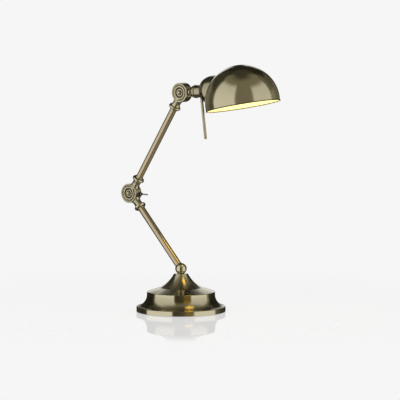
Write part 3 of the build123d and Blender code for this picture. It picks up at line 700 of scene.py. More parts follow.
@dataclass(frozen=True)
class LitPaint:
    """Pale paint inside the shade, with the bulb's light on it painted in as a glow."""

    name: str = "lit_shade_paint"
    colour: tuple = (0.62, 0.58, 0.42)
    roughness: float = 0.45
    deep_glow: tuple = (1.0, 0.60, 0.03)
    rim_glow: tuple = (0.64, 0.60, 0.22)
    strength: float = 1.5
    depth: tuple = (0.074, 0.096)
    grain: tuple = (700.0, 2.0)
    grain_strength: float = 0.2
    grain_depth: float = 0.00003

    def material(self) -> bpy.types.Material:
        """A satin paint with a painted glow for the bulb's light: amber deep inside and pale along
        the rim.

        Returns:
            The material.
        """
        recipe = Recipe.named(self.name)
        deep = recipe.fade(recipe.turning()[1], self.depth, 1.0)
        grain = recipe.noise(*self.grain)
        values = {
            "Base Color": self.colour,
            "Roughness": self.roughness,
            # Painted light: this emission stands in for the bulb's light on the paint, amber deep
            # in the dome and pale near the rim.
            "Emission Color": recipe.blend(deep, self.rim_glow, self.deep_glow),
            "Emission Strength": self.strength,
            "Normal": recipe.bump(self.grain_strength, self.grain_depth, grain),
        }
        return recipe.surface(values)


@dataclass(frozen=True)
class LitOpal:
    """Opal glass of a bulb that is switched on."""

    name: str = "lit_opal_glass"
    colour: tuple = (0.95, 0.93, 0.88)
    roughness: float = 0.12
    glow: tuple = (1.0, 0.68, 0.16)
    edge_share: float = 0.75
    facing: float = 0.35
    strength: float = 2.2
    gloss: tuple = (0.6, 0.05)

    def material(self) -> bpy.types.Material:
        """A smooth white skin, brightest where the lamp faces out.

        Returns:
            The material.
        """
        recipe = Recipe.named(self.name)
        facing = recipe.add("LayerWeight", {"Blend": self.facing}).outputs["Facing"]
        edge = tuple(c * self.edge_share for c in self.glow)
        values = {
            "Base Color": self.colour,
            "Roughness": self.roughness,
            "Emission Color": recipe.blend(facing, self.glow, edge),
            "Emission Strength": self.strength,
            "Coat Weight": self.gloss[0],
            "Coat Roughness": self.gloss[1],
        }
        return recipe.surface(values)


FINISHES = (
    AgedBrass("brass_spun", streak=1.0),
    AgedBrass("brass_dome", roughness=0.15),
    AgedBrass(
        "brass_turned",
        bright=(0.64, 0.585, 0.41),
        toned=(0.46, 0.41, 0.265),
        roughness=0.13,
        tone_depth=2.1,
    ),
    AgedBrass("brass_drawn", Grain.DRAWN, (0.53, 0.44, 0.29), (0.38, 0.315, 0.20)),
    # Painted shade: a darker copy of the spun brass, for the bell, the holder collar and the lip
    # inside the shade's rim.
    AgedBrass("brass_painted_shade", Grain.SPUN, (0.42, 0.385, 0.265), (0.30, 0.27, 0.17)),
    AgedBrass("brass_plain", Grain.NONE, roughness=0.2),
    PlainFinish("iron_casting", (0.05, 0.05, 0.05), 0.65, grain_scale=500.0),
    PlainFinish("zinc_steel", (0.55, 0.55, 0.53), 0.32, metallic=1.0),
    PlainFinish("black_sheet", (0.06, 0.06, 0.06), 0.42, metallic=0.7),
    PlainFinish("pressed_felt", (0.025, 0.025, 0.027), 0.95, grain_depth=0.0003, sheen=0.5),
    PlainFinish("black_rubber", (0.02, 0.02, 0.02), 0.55),
    PlainFinish("fibre_disc", (0.16, 0.10, 0.06), 0.8),
    PlainFinish("sheathed_flex", (0.02, 0.02, 0.02), 0.5),
    PlainFinish("plated_switch", (0.24, 0.24, 0.235), 0.2, metallic=1.0, mottle=0.05),
    PlainFinish("phenolic", (0.022, 0.018, 0.016), 0.35),
    PlainFinish("lamp_cap", (0.72, 0.71, 0.68), 0.3, metallic=1.0),
    LitPaint(),
    LitOpal(),
)

NODE_FINISH = {
    "base_weight": "iron_casting",
    "bottom_plate": "black_sheet",
    "foot_pad": "pressed_felt",
    "cable_grommet": "black_rubber",
    "swivel_bush": "brass_plain",
    "elbow_friction_lining": "fibre_disc",
    "head_friction_lining": "fibre_disc",
    "lower_flex": "sheathed_flex",
    "upper_flex": "sheathed_flex",
    "toggle_bush": "plated_switch",
    "toggle_nut": "plated_switch",
    "toggle_lever": "plated_switch",
    "toggle_body": "phenolic",
    "lampholder": "phenolic",
    "shade_saddle": "phenolic",
    "shade_ring": "phenolic",
    "bulb_cap": "lamp_cap",
}


# ---- what every sub-assembly is built with

@dataclass(frozen=True)
class Stance:
    """The lamp's axes at rest, read from the joints of the frame."""

    foot: Place
    ball: Place
    elbow_lower: Place
    elbow_upper: Place
    elbow_drum: Place
    head_upper: Place
    head_drum: Place
    neck: Place

    @classmethod
    def read(cls) -> "Stance":
        """Work the places out from the joints' points and axes.

        Returns:
            The places.
        """
        joints = {joint["name"]: joint for joint in frame["joints"]}
        point = {name: np.array(joint["pos_m"], float) for name, joint in joints.items()}
        axis = {name: np.array(joint["axis"], float) for name, joint in joints.items()}
        ball, elbow, head = point["base_swivel"], point["elbow"], point["head_tilt"]
        upper, front = unit(head - elbow), -axis["elbow"]
        return cls(
            foot=Place(np.zeros(3), UP, EAST),
            ball=Place(ball, UP, EAST),
            elbow_lower=Place(elbow, unit(ball - elbow), front),
            elbow_upper=Place(elbow, upper, front),
            elbow_drum=Place(elbow, front, EAST),
            head_upper=Place(head, -upper, front),
            head_drum=Place(head, front, EAST),
            neck=Place(head, unit(axis["head_swivel"]), front),
        )


@dataclass
class Workshop:
    """Gives pieces their finishes and puts them on their bodies."""

    made: dict = field(default_factory=dict)

    def __post_init__(self) -> None:
        """Make every finish once."""
        self.made = {finish.name: finish.material() for finish in FINISHES}

    def dress(self, piece: Piece, *finishes: str) -> None:
        """Give a piece its finishes.

        Args:
            piece: the object.
            finishes: names of the finishes, in the order of its material slots.
        """
        piece.data.materials.clear()
        for name in finishes:
            piece.data.materials.append(self.made[name])

    def dress_nodes(self) -> None:
        """Give every node its finish; a node with none named is zinc-plated steel."""
        for name, node in frame["nodes"].items():
            self.dress(node, NODE_FINISH.get(name, "zinc_steel"))

    def settle(
        self, piece: Piece, body: str, node: str, *finishes: str, slot: str = "brass"
    ) -> None:
        """Dress a piece and put it on its body in place of the node that it stands for.

        Args:
            piece: the object.
            body: body that it rides on.
            node: node that it replaces.
            finishes: names of its finishes.
            slot: material slot of the record; not used.
        """
        self.dress(piece, *finishes)
        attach(piece, body)
        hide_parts(node)
        log.info("%s stands for %s on %s", piece.name, node, body)


@dataclass
class Assembly:
    """A sub-assembly: it is made at the lamp's places and dressed in its workshop."""

    stance: Stance
    shop: Workshop


# ---- base

@dataclass
class Base(Assembly):
    """Spun base: flange, cove, shoulder, sloping deck and trumpet cone."""

    radius: float = 79.97
    sheet: float = 1.5
    sheet_edge: float = 0.35
    lift: float = 0.8
    flange_top: float = 9.4
    cove_start: tuple = (73.8, 11.1)
    cove_radius: float = 22.0
    shoulder_radius: float = 61.2
    cove_end: float = 31.0
    shoulder_top: float = 35.9
    deck_inner: tuple = (37.6, 43.4)
    deck_rounding: float = 1.6
    cone_top_radius: float = 12.3
    cone_top: float = 68.8
    cone_sag: float = 2.7
    bush_radius: float = 6.3
    edge: float = 0.9

    def outline(self) -> Array:
        """Outer face of the shell, from its lower edge up to the hole in the cone's top.

        Returns:
            Rows of radius, station and rounding.
        """
        cove_end = (self.shoulder_radius, self.cove_end)
        chord = math.dist(self.cove_start, cove_end)
        sag = self.cove_radius - math.sqrt(self.cove_radius**2 - chord**2 / 4)
        cone_edge = (self.cone_top_radius, self.cone_top)
        return corner_array(
            (self.radius, self.lift),
            (self.radius, self.flange_top, self.edge),
            arc(self.cove_start, cove_end, -sag, 28),
            (self.shoulder_radius, self.shoulder_top, self.edge),
            (*self.deck_inner, self.deck_rounding),
            arc(self.deck_inner, cone_edge, -self.cone_sag, 40)[2:-1],
            (*cone_edge, self.edge),
            (self.bush_radius, self.cone_top),
        )

    def build(self) -> None:
        """Make the shell."""
        corners = walled(self.outline(), self.sheet, self.sheet_edge)
        shell = turned("spun_base", corners, self.stance.foot, closed=True, around=AROUND_LARGE)
        self.shop.settle(shell, "base", "base_shell", "brass_spun")


# ---- arms

@dataclass
class Ball(Assembly):
    """Ball that turns the lower arm out of the vertical."""

    radius: float = 10.3
    seat: float = -8.4
    seat_edge: float = 0.2

    def build(self) -> None:
        """Make the ball: a sphere with a flat seat."""
        seat_radius = math.sqrt(self.radius**2 - self.seat**2)
        turn = (math.asin(self.seat / self.radius), QUARTER)
        skin = oval(self.radius, self.radius, 0.0, turn, 48)[1:]
        corners = corner_array((0.0, self.seat), (seat_radius, self.seat, self.seat_edge), skin)
        ball = turned("turned_ball", corners, self.stance.ball)
        self.shop.settle(ball, "lower_arm", "ball_elbow", "brass_turned")


@dataclass
class Arms(Assembly):
    """Tubes of both arms with their beaded collars."""

    tube_radius: float = 6.1
    tube_bore: float = 5.1
    tube_edge: float = 0.15
    socket: float = 24.0
    ball_reach: float = 7.0
    neck_end: float = 27.5
    bead_root: float = 7.9
    bead_low: float = 28.2
    bead_high: float = 34.2
    bead_sag: float = 3.0
    spigot_radius: float = 7.3
    spigot_start: float = 34.8
    spigot_end: float = 36.2

    def collar_corners(self) -> Array:
        """Turned ferrule: a lip, a full bead and a plain end."""
        low, high = (self.bead_root, self.bead_low), (self.bead_root, self.bead_high)
        return corner_array(
            (self.tube_radius, self.neck_end),
            (self.bead_root, self.neck_end, SOFT),
            (*low, EASED),
            arc(low, high, self.bead_sag, 22),
            (self.spigot_radius, self.spigot_start, EASED),
            (self.spigot_radius, self.spigot_end, 0.35),
            (self.tube_radius, self.spigot_end),
        )

    def tube_corners(self, high: float) -> Array:
        """Drawn tube from its socket to a station."""
        return corner_array(
            (self.tube_bore, self.socket),
            (self.tube_radius, self.socket, self.tube_edge),
            (self.tube_radius, high, self.tube_edge),
            (self.tube_bore, high),
        )

    def build(self) -> None:
        """Make the tubes, each from its socket to its far end, and the collars."""
        stance, shop = self.stance, self.shop
        elbow = stance.elbow_drum.origin
        lower = math.dist(stance.ball.origin, elbow) / MM - self.ball_reach
        upper = math.dist(stance.head_drum.origin, elbow) / MM - self.socket
        for node, place, end, body in (
            ("lower_tube", stance.elbow_lower, lower, "lower_arm"),
            ("upper_tube", stance.elbow_upper, upper, "upper_arm"),
        ):
            tube = turned(f"drawn_{node}", self.tube_corners(end), place, closed=True)
            shop.settle(tube, body, node, "brass_drawn")
        for node, place, body in (
            ("lower_collar", stance.elbow_lower, "lower_arm"),
            ("elbow_collar", stance.elbow_upper, "upper_arm"),
            ("head_collar", stance.head_upper, "upper_arm"),
        ):
            collar = turned(f"turned_{node}", self.collar_corners(), place, closed=True)
            shop.settle(collar, body, node, "brass_turned")


# ---- friction joints

class Half(Enum):
    """The two halves of a friction joint."""

    RINGED = "front"
    PLAIN = "rear"


@dataclass(frozen=True)
class Neck:
    """Neck of one half: its axis, whose side looks to the rings, its outer line and its body."""

    place: Place
    line: Array
    body: str


@dataclass
class FrictionJoints(Assembly):
    """Both joints: two halves with their necks, a ringed disc, a button and a domed nut."""

    radius: float = 17.3
    half: float = 8.75
    front_split: float = 2.1
    rear_split: float = 1.4
    split_edge: float = 0.25
    rim_width: float = 2.8
    rim_height: float = 1.2
    back_edge: float = 1.3
    groove: tuple = (10.9, 11.5, 12.1)
    groove_depth: float = 0.5
    roundel_radius: float = 14.0
    roundel_seat: float = 6.6
    roundel_rim: tuple = (13.5, 13.1, 12.7)
    roundel_bead: tuple = (12.4, 9.1)
    roundel_bead_swell: float = 1.45
    roundel_flat: tuple = (8.8, 7.3)
    roundel_boss: tuple = (7.0, 4.5)
    roundel_boss_swell: float = 0.85
    roundel_well: float = 4.2
    saddle_gap: float = 0.35
    neck_fill: int = 11
    neck_foot: float = 12.0
    neck_side: float = 7.45
    neck_side_gain: float = 1.5
    neck_side_reach: float = 4.0
    neck_flare: float = 8.8
    neck_root: tuple = (8.5, 16.5)
    neck_waist: tuple = (7.6, 26.3)
    neck_waist_sag: float = -1.0
    neck_lip: float = 7.9
    neck_end: float = 27.5
    head_root: float = 7.0
    head_waist: float = 6.4
    head_waist_end: float = 19.6
    head_waist_sag: float = -0.5
    head_neck_end: float = 20.9
    spigot_radius: float = 4.9
    spigot_end: float = 36.0
    pivot_radius: float = 2.5
    pivot_gap: float = 0.2
    button_radius: float = 3.5
    button_edge: float = 1.4
    button_seat: float = 7.55
    button_top: float = 11.85
    acorn_flats: float = 8.0
    acorn_seat: float = -9.75
    acorn_end: float = -12.35
    acorn_dome: float = 3.7
    acorn_dome_turn: tuple = (-QUARTER, -0.12)

    def front_corners(self) -> Array:
        """Ringed half: a plain wall, a rolled rim and the seat of the disc."""
        foot, radius = self.half - self.rim_height, self.radius
        return corner_array(
            (0.0, self.front_split),
            (radius, self.front_split, self.split_edge),
            (radius, foot, SOFT),
            arc((radius, foot), (radius - self.rim_width, foot), self.rim_height, 16),
            (self.roundel_radius, foot - 0.4, SOFT),
            (self.roundel_radius, self.roundel_seat, CRISP),
            (0.0, self.roundel_seat),
        )

    def rear_corners(self) -> Array:
        """Plain half: a flat back with one turned groove and a soft edge.

        Returns:
            Rows of radius, station and rounding.
        """
        back = -self.half
        inner, middle, outer = self.groove
        return corner_array(
            (0.0, back),
            (inner, back, SOFT),
            (middle, back + self.groove_depth, EASED),
            (outer, back, SOFT),
            (self.radius, back, self.back_edge),
            (self.radius, self.rear_split, self.split_edge),
            (0.0, self.rear_split),
        )

    def arm_neck_line(self) -> Array:
        """Outer line of an arm's neck."""
        corners = corner_array(
            (self.neck_flare, self.neck_foot),
            arc(self.neck_root, self.neck_waist, self.neck_waist_sag, 14),
            (self.neck_lip, self.neck_end, CRISP),
            (0.0, self.neck_end),
        )
        return rounded(corners, False)

    def head_neck_line(self) -> Array:
        """Outer line of the head's neck: a waist, a plain end and a spigot.

        Returns:
            The points of the line, up to the axis.
        """
        root, waist_end = (self.head_root, self.neck_foot), (self.head_waist, self.head_waist_end)
        corners = corner_array(
            arc(root, waist_end, self.head_waist_sag, 12),
            (self.head_waist, self.head_neck_end, 0.25),
            (self.spigot_radius, self.head_neck_end, CRISP),
            (self.spigot_radius, self.spigot_end, 0.3),
            (0.0, self.spigot_end),
        )
        return rounded(corners, False)

    def build_neck(self, name: str, neck: Neck, half: Half) -> Piece:
        """A neck whose foot is cut to the drum.

        A point at side s and cross c starts at the neck's foot over its own half of the drum, and
        at sqrt((R + gap)^2 - c^2) over the other half, which turns under it. Rows below the start
        are lifted to it. The side is held to a limit beside the drum's rims, and the limit grows
        with the distance from the drum.

        Args:
            name: name of the piece.
            neck: its axis and outer line, up to the axis.
            half: half of the drum that the neck belongs to.
        Returns:
            The new object.
        """
        angle, line = circle(), neck.line
        fill = np.linspace(0.0, 1.0, self.neck_fill, endpoint=False)[:, None] * line[0, 0]
        radius = np.vstack([fill, line[:, :1]])
        station = np.vstack([np.full_like(fill, line[0, 1]), line[:, 1:]])
        middle = self.radius + self.neck_side_reach / 2
        most = self.neck_side + self.neck_side_gain * ease(station, middle, self.neck_side_reach)
        side, cross = np.minimum(radius, most) * np.cos(angle), radius * np.sin(angle)
        over_other = side < self.front_split if half is Half.RINGED else side > self.rear_split
        reach = np.clip(cross, -self.radius, self.radius)
        clear = np.sqrt((self.radius + self.saddle_gap) ** 2 - reach**2)
        station = np.maximum(station + 0 * angle, np.where(over_other, clear, 0.0))
        grid = neck.place.put(side, cross, station)
        lead = np.zeros(len(fill))
        run = np.concatenate([lead, run_along(line)])
        return grid_mesh(name, grid, False, np.concatenate([lead, relief_of(line, False)]), run)

    def roundel_corners(self) -> Array:
        """Ornamental disc: a groove, a broad bead, a flat and a small bead.

        Returns:
            Rows of radius, station and rounding.
        """
        seat, bore = self.roundel_seat, self.pivot_radius + self.pivot_gap
        back, low, foot, rim = seat - 0.3, seat + 0.15, seat + 0.5, seat + 0.55
        lip, hollow, hollow_end = self.roundel_rim
        rings = self.roundel_bead, self.roundel_boss
        bead, boss = ([(radius, foot) for radius in pair] for pair in rings)
        return corner_array(
            (bore, back),
            (self.roundel_radius, back),
            (self.roundel_radius, rim + 0.05, CRISP),
            (lip, rim, CRISP),
            (hollow, low, CRISP),
            (hollow_end, low, CRISP),
            arc(*bead, self.roundel_bead_swell, 20),
            *((radius, low, CRISP) for radius in self.roundel_flat),
            arc(*boss, self.roundel_boss_swell, 16),
            (self.roundel_well, low, CRISP),
            (bore, low),
        )

    def button_corners(self) -> Array:
        """Pivot screw with its domed head.

        Returns:
            Rows of radius, station and rounding.
        """
        shoulder = self.button_seat + self.button_edge
        rise = self.button_top - shoulder
        return corner_array(
            (0.0, self.acorn_seat),
            (self.pivot_radius, self.acorn_seat),
            (self.pivot_radius, self.button_seat),
            (self.button_radius, self.button_seat, SOFT),
            oval(self.button_radius, rise, shoulder, (0.0, QUARTER), 14),
        )

    def acorn_corners(self) -> Array:
        """Acorn nut before milling: a chamfered body and a round end."""
        across = self.acorn_flats / 2 / math.cos(math.pi / 6)
        return corner_array(
            oval(self.acorn_dome, self.acorn_dome, self.acorn_end, self.acorn_dome_turn, 18),
            (across - 0.5, self.acorn_end),
            (across + 0.1, self.acorn_end + 0.4),
            (across + 0.1, self.acorn_seat - 0.3),
            (across - 0.3, self.acorn_seat),
            (0.0, self.acorn_seat),
        )

    def build_joint(self, which: str, drum: Place, necks: dict) -> None:
        """Make every turned piece of one joint.

        Args:
            which: elbow or head, as the nodes' names start.
            drum: the drum's axis.
            necks: half to its neck.
        """
        blanks = {Half.RINGED: self.front_corners(), Half.PLAIN: self.rear_corners()}
        for half, neck in necks.items():
            node = f"{which}_{half.value}_half"
            body = turned(f"{node}_drum", blanks[half], drum)
            piece = joined(f"turned_{node}", [body, self.build_neck(f"{node}_neck", neck, half)])
            self.shop.settle(piece, neck.body, node, "brass_turned")
        acorn = {"flats": self.acorn_flats}
        for piece, node, corners, half, options in (
            ("turned_{}_roundel", "roundel", self.roundel_corners(), Half.RINGED, {"closed": True}),
            ("turned_{}_button", "pivot_screw", self.button_corners(), Half.PLAIN, {}),
            ("milled_{}_acorn", "acorn_nut", self.acorn_corners(), Half.PLAIN, acorn),
        ):
            made = turned(piece.format(which), corners, drum, **options)
            self.shop.settle(made, necks[half].body, f"{which}_{node}", "brass_turned")

    def build(self) -> None:
        """Make the elbow and the head's joint."""
        stance, line = self.stance, self.arm_neck_line()
        elbow = {
            Half.RINGED: Neck(stance.elbow_upper, line, "upper_arm"),
            Half.PLAIN: Neck(stance.elbow_lower, line, "lower_arm"),
        }
        head = {
            Half.RINGED: Neck(stance.head_upper, line, "upper_arm"),
            Half.PLAIN: Neck(stance.neck, self.head_neck_line(), "head_knuckle"),
        }
        self.build_joint("elbow", stance.elbow_drum, elbow)
        self.build_joint("head", stance.head_drum, head)


# ---- head

@dataclass
class Head(Assembly):
    """Holder collar, bell, shade, lamp and handle rod."""

    collar_bore: float = 4.95
    collar_start: float = 21.7
    collar_nose: tuple = (7.6, 9.0, 25.0)
    collar_crest: tuple = (11.8, 32.2, 33.6)
    collar_crest_swell: float = 0.8
    collar_groove: tuple = (10.6, 34.4)
    collar_shoulder: float = 35.1
    collar_radius: float = 11.1
    nipple_radius: float = 5.0
    bell_centre: float = 71.2
    bell_radius: float = 26.0
    bell_sheet: float = 1.2
    bell_gap: float = 1.3
    bell_longest: float = 3.2
    bell_halvings: int = 30
    bell_around: int = 144
    bell_rows: int = 60
    shade_reach: float = 136.1
    shade_drop: float = 32.2
    shade_tilt: float = 11.8
    shade_radius: float = 66.1
    shade_skirt: float = 9.0
    shade_rise: float = 64.7
    shade_sheet: float = 1.2
    shade_bead: float = 1.0
    shade_bead_edge: float = 0.5
    shade_bead_swell: float = 0.8
    # relief set on the rolled rim: painted shade, a dark line along it
    shade_rim_painted_shade: float = -0.5
    shade_bead_overlap: float = 0.1
    shade_lip_inset: float = 0.05
    rod_radius: float = 2.5
    rod_station: float = 43.3
    rod_seat: float = 8.3
    rod_length: float = 85.7
    rod_lean: float = 2.1
    lamp_globe: float = 22.5
    lamp_centre: float = 128.0
    lamp_neck: tuple = (10.2, 104.0)
    lamp_cap: float = 7.0
    lamp_start: float = 95.0
    lamp_cap_end: float = 98.0
    lamp_globe_start: float = -0.72

    @property
    def down(self) -> Array:
        """Direction square to the neck, in the plane of the arms, away from the sky."""
        across = np.cross(self.stance.neck.along, self.stance.neck.side)
        return -across if across[2] > 0 else across

    @property
    def shade_place(self) -> Place:
        """The shade's axis, which leans back by the tilt.

        Returns:
            The place, with its origin at the middle of the rim.
        """
        neck, tilt = self.stance.neck, math.radians(self.shade_tilt)
        origin = neck.origin + MM * (neck.along * self.shade_reach + self.down * self.shade_drop)
        along = np.array([-math.sin(tilt), 0.0, math.cos(tilt)])
        return Place(origin, along, np.array([math.cos(tilt), 0.0, math.sin(tilt)]))

    def bell_meets(self, radius: float) -> float:
        """Station where a cylinder of some radius about the neck's axis meets the bell's back."""
        return self.bell_centre - math.sqrt(self.bell_radius**2 - radius**2)

    def dome_level(self, radius: Array, station: Array, grow: float) -> Array:
        """Where points lie against the dome grown by a length: under 1 inside it.

        The level is hypot(r / R, h / H), where h is the height above the skirt.

        Args:
            radius: radius of each point about the shade's axis.
            station: its station on that axis.
            grow: what is added to the dome's radius R and rise H.
        Returns:
            One level a point.
        """
        height = np.maximum(station - self.shade_skirt, 0.0)
        return np.hypot(radius / (self.shade_radius + grow), height / (self.shade_rise + grow))

    def build_collar(self) -> None:
        """Collar with a nose, a bead, a groove and a barrel that is cupped to the bell."""
        nose, nose_root, nose_end = self.collar_nose
        crest, crest_start, crest_end = self.collar_crest
        corners = corner_array(
            (self.collar_bore, self.collar_start),
            (nose, self.collar_start, 0.3),
            arc((nose_root, nose_end), (crest, crest_start), self.collar_crest_swell, 16),
            (crest, crest_end, 0.35),
            (*self.collar_groove, SOFT),
            (self.collar_radius, self.collar_shoulder, EASED),
            (self.collar_radius, self.bell_meets(self.collar_radius), EASED),
            (self.nipple_radius, self.bell_meets(self.nipple_radius)),
        )
        collar = turned("turned_holder_collar", corners, self.stance.neck, closed=True)
        # The collar takes the darker brass, which paints shade on it.
        self.shop.settle(collar, "head", "holder_collar", "brass_painted_shade")

    def build_rod(self) -> None:
        """Straight rod with a rounded end, hung from the neck and leaning to the shade."""
        neck, lean = self.stance.neck, math.radians(self.rod_lean)
        along = self.down * math.cos(lean) + neck.along * math.sin(lean)
        place = Place(neck.origin + neck.along * self.rod_station * MM, along, neck.side)
        radius, end = self.rod_radius, self.rod_length - self.rod_radius
        tip = oval(radius, radius, end, (0.0, QUARTER), 12)
        corners = corner_array((0.0, self.rod_seat), (radius, self.rod_seat), tip)
        rod = turned("drawn_handle_rod", corners, place, around=48)
        self.shop.settle(rod, "head", "handle_rod", "brass_drawn")

    def build_shade(self) -> None:
        """Spun dome: a short straight skirt under a quarter ellipse, with a rolled rim; the inside
        is painted and carries a painted glow for the bulb's light. Relief darkens the rim alone, as
        painted shade in a dark line, and the lip behind it stays metal, in brass darkened as
        painted shade."""
        place, bead_top = self.shade_place, 2 * self.shade_bead
        radius, rise, turn = self.shade_radius, self.shade_rise, (0.0, QUARTER)
        edge = radius - self.shade_bead_edge
        outer, inner = (
            oval(radius - wall, rise - wall, self.shade_skirt, turn, 90)
            for wall in (0.0, self.shade_sheet)
        )
        corners = corner_array(
            inner[::-1],
            (inner[0, 0], bead_top),
            (inner[0, 0], 0.0, SOFT),
            arc((edge, 0.0), (radius, bead_top), self.shade_bead_swell, 12),
            outer,
        )
        shade = turned("spun_shade", corners, place, around=AROUND_LARGE)
        finishes = "brass_dome", "lit_shade_paint", "brass_painted_shade"
        self.shop.settle(shade, "head", "shade", *finishes)
        mesh = shade.data
        values = mesh.attributes[RELIEF].data
        _, height = place.measured(read_each(mesh.vertices, "co", np.float32, 3))
        relief = np.maximum(read_each(values, "value", np.float32), 0.0)
        # Painted shade: the rolled rim's relief is set low, which darkens it to a dark line.
        rim = height < bead_top - self.shade_bead_overlap
        relief = np.where(rim, self.shade_rim_painted_shade, relief)
        values.foreach_set("value", relief.astype(np.float32))
        radius, height = place.measured(read_each(mesh.polygons, "center", np.float32, 3))
        inside = self.dome_level(radius, height, -self.shade_sheet / 2) < 1.0
        # The lip inside the rolled rim takes the third finish, the brass darkened as painted shade.
        finish = np.where(height > bead_top, inside, 2 * (radius < edge - self.shade_lip_inset))
        mesh.polygons.foreach_set("material_index", finish.astype(np.int32))

    def build_bell(self) -> None:
        """Bell with a round back and a straight wall, whose mouth follows the shade at a gap.

        Each meridian runs from the back pole over the sphere and on along the cylinder; where it
        enters the dome grown by the gap is found by halving, and the rows are spread up to there.
        """
        dome, angle = self.shade_place, circle(self.bell_around)

        def meridian(run: Array, radius: float) -> Array:
            """Points of the meridians: round the back up to a quarter turn, then along the wall.

            Args:
                run: how far along, in radians; on the wall one stands for a radius.
                radius: radius of the back and of the wall.
            Returns:
                The points, in metres.
            """
            turn, wall = np.minimum(run, QUARTER), np.maximum(run - QUARTER, 0.0)
            station = self.bell_centre + radius * (wall - np.cos(turn))
            return self.stance.neck.swept(radius * np.sin(turn), station, angle)

        low, high = np.zeros(angle.shape), np.full(angle.shape, self.bell_longest)
        for _ in range(self.bell_halvings):
            middle = (low + high) / 2
            points = meridian(middle, self.bell_radius)
            hit = self.dome_level(*dome.measured(points), self.bell_gap) < 1.0
            low, high = np.where(hit, low, middle), np.where(hit, middle, high)
        share = np.linspace(0.0, 1.0, self.bell_rows)[:, None]
        outer = meridian(low * share, self.bell_radius)
        inner = meridian(low * share[::-1], self.bell_radius - self.bell_sheet)
        grid = np.concatenate([outer, inner])
        rows = np.arange(len(grid), dtype=float)
        bell = grid_mesh("spun_bell", grid, False, 0 * rows, rows)
        # The bell takes the darker brass, which paints the shade's shadow on it.
        self.shop.settle(bell, "head", "bell_cover", "brass_painted_shade")

    def build_lamp(self) -> None:
        """Small round bulb: a globe drawn out into its neck."""
        turn = (self.lamp_globe_start, QUARTER)
        corners = corner_array(
            (0.0, self.lamp_start),
            (self.lamp_cap, self.lamp_start, 0.3),
            (self.lamp_cap, self.lamp_cap_end, 0.5),
            (*self.lamp_neck, 2.0),
            oval(self.lamp_globe, self.lamp_globe, self.lamp_centre, turn, 50),
        )
        bulb = turned("blown_bulb", corners, self.stance.neck)
        self.shop.settle(bulb, "head", "bulb_glass", "lit_opal_glass", slot="bulb")

    def build(self) -> None:
        """Make the head."""
        self.build_collar()
        self.build_rod()
        self.build_shade()
        self.build_bell()
        self.build_lamp()


# ---- studio

@dataclass(frozen=True)
class Span:
    """A band with soft ends: where each end lies and over what width it is eased."""

    start: float
    start_soft: float
    end: float
    end_soft: float

    def share(self, value: Array) -> Array:
        """1 inside the band and 0 outside it."""
        inside = ease(value, self.start, self.start_soft)
        return inside * (1 - ease(value, self.end, self.end_soft))


FAR = 999.0
ALL_ROUND = Span(-FAR, 1, FAR, 1)
LEFT_SIDE = Span(-156, 10, -96, 10)
RIGHT_SIDE = Span(99, 8, 150, 10)
LOW_BAND = Span(-8, 12, 24, 12)
HIGH_BAND = Span(10, 8, 60, 16)


@dataclass(frozen=True)
class Change:
    """An amount that comes in past an edge, eased over a width."""

    amount: float = 0.0
    edge: float = 0.0
    soft: float = 1.0

    def at(self, value: Array) -> Array:
        """The amount at each value."""
        return self.amount * ease(value, self.edge, self.soft)


RIGHT_SIDE_CUT = Change(-22, 39, 8)


@dataclass(frozen=True)
class Patch:
    """A patch of light on the walls: a span of angles across, a span of angles up and a level.

    The level may change with the angle across or up, and the patch's far end with the angle up.
    """

    across: Span
    up: Span
    level: float = 1.0
    by_across: Change = Change()
    by_up: Change = Change()
    end_by_up: Change = Change()

    def light(self, across: Array, up: Array) -> Array:
        """Light of the patch: its level inside both spans and 0 outside them.

        Args:
            across: angle to the camera's right, in degrees.
            up: angle above the horizon, in degrees.
        Returns:
            The light at each angle.
        """
        span = replace(self.across, end=self.across.end + self.end_by_up.at(up))
        level = self.level + self.by_across.at(across) + self.by_up.at(up)
        return level * span.share(across) * self.up.share(up)


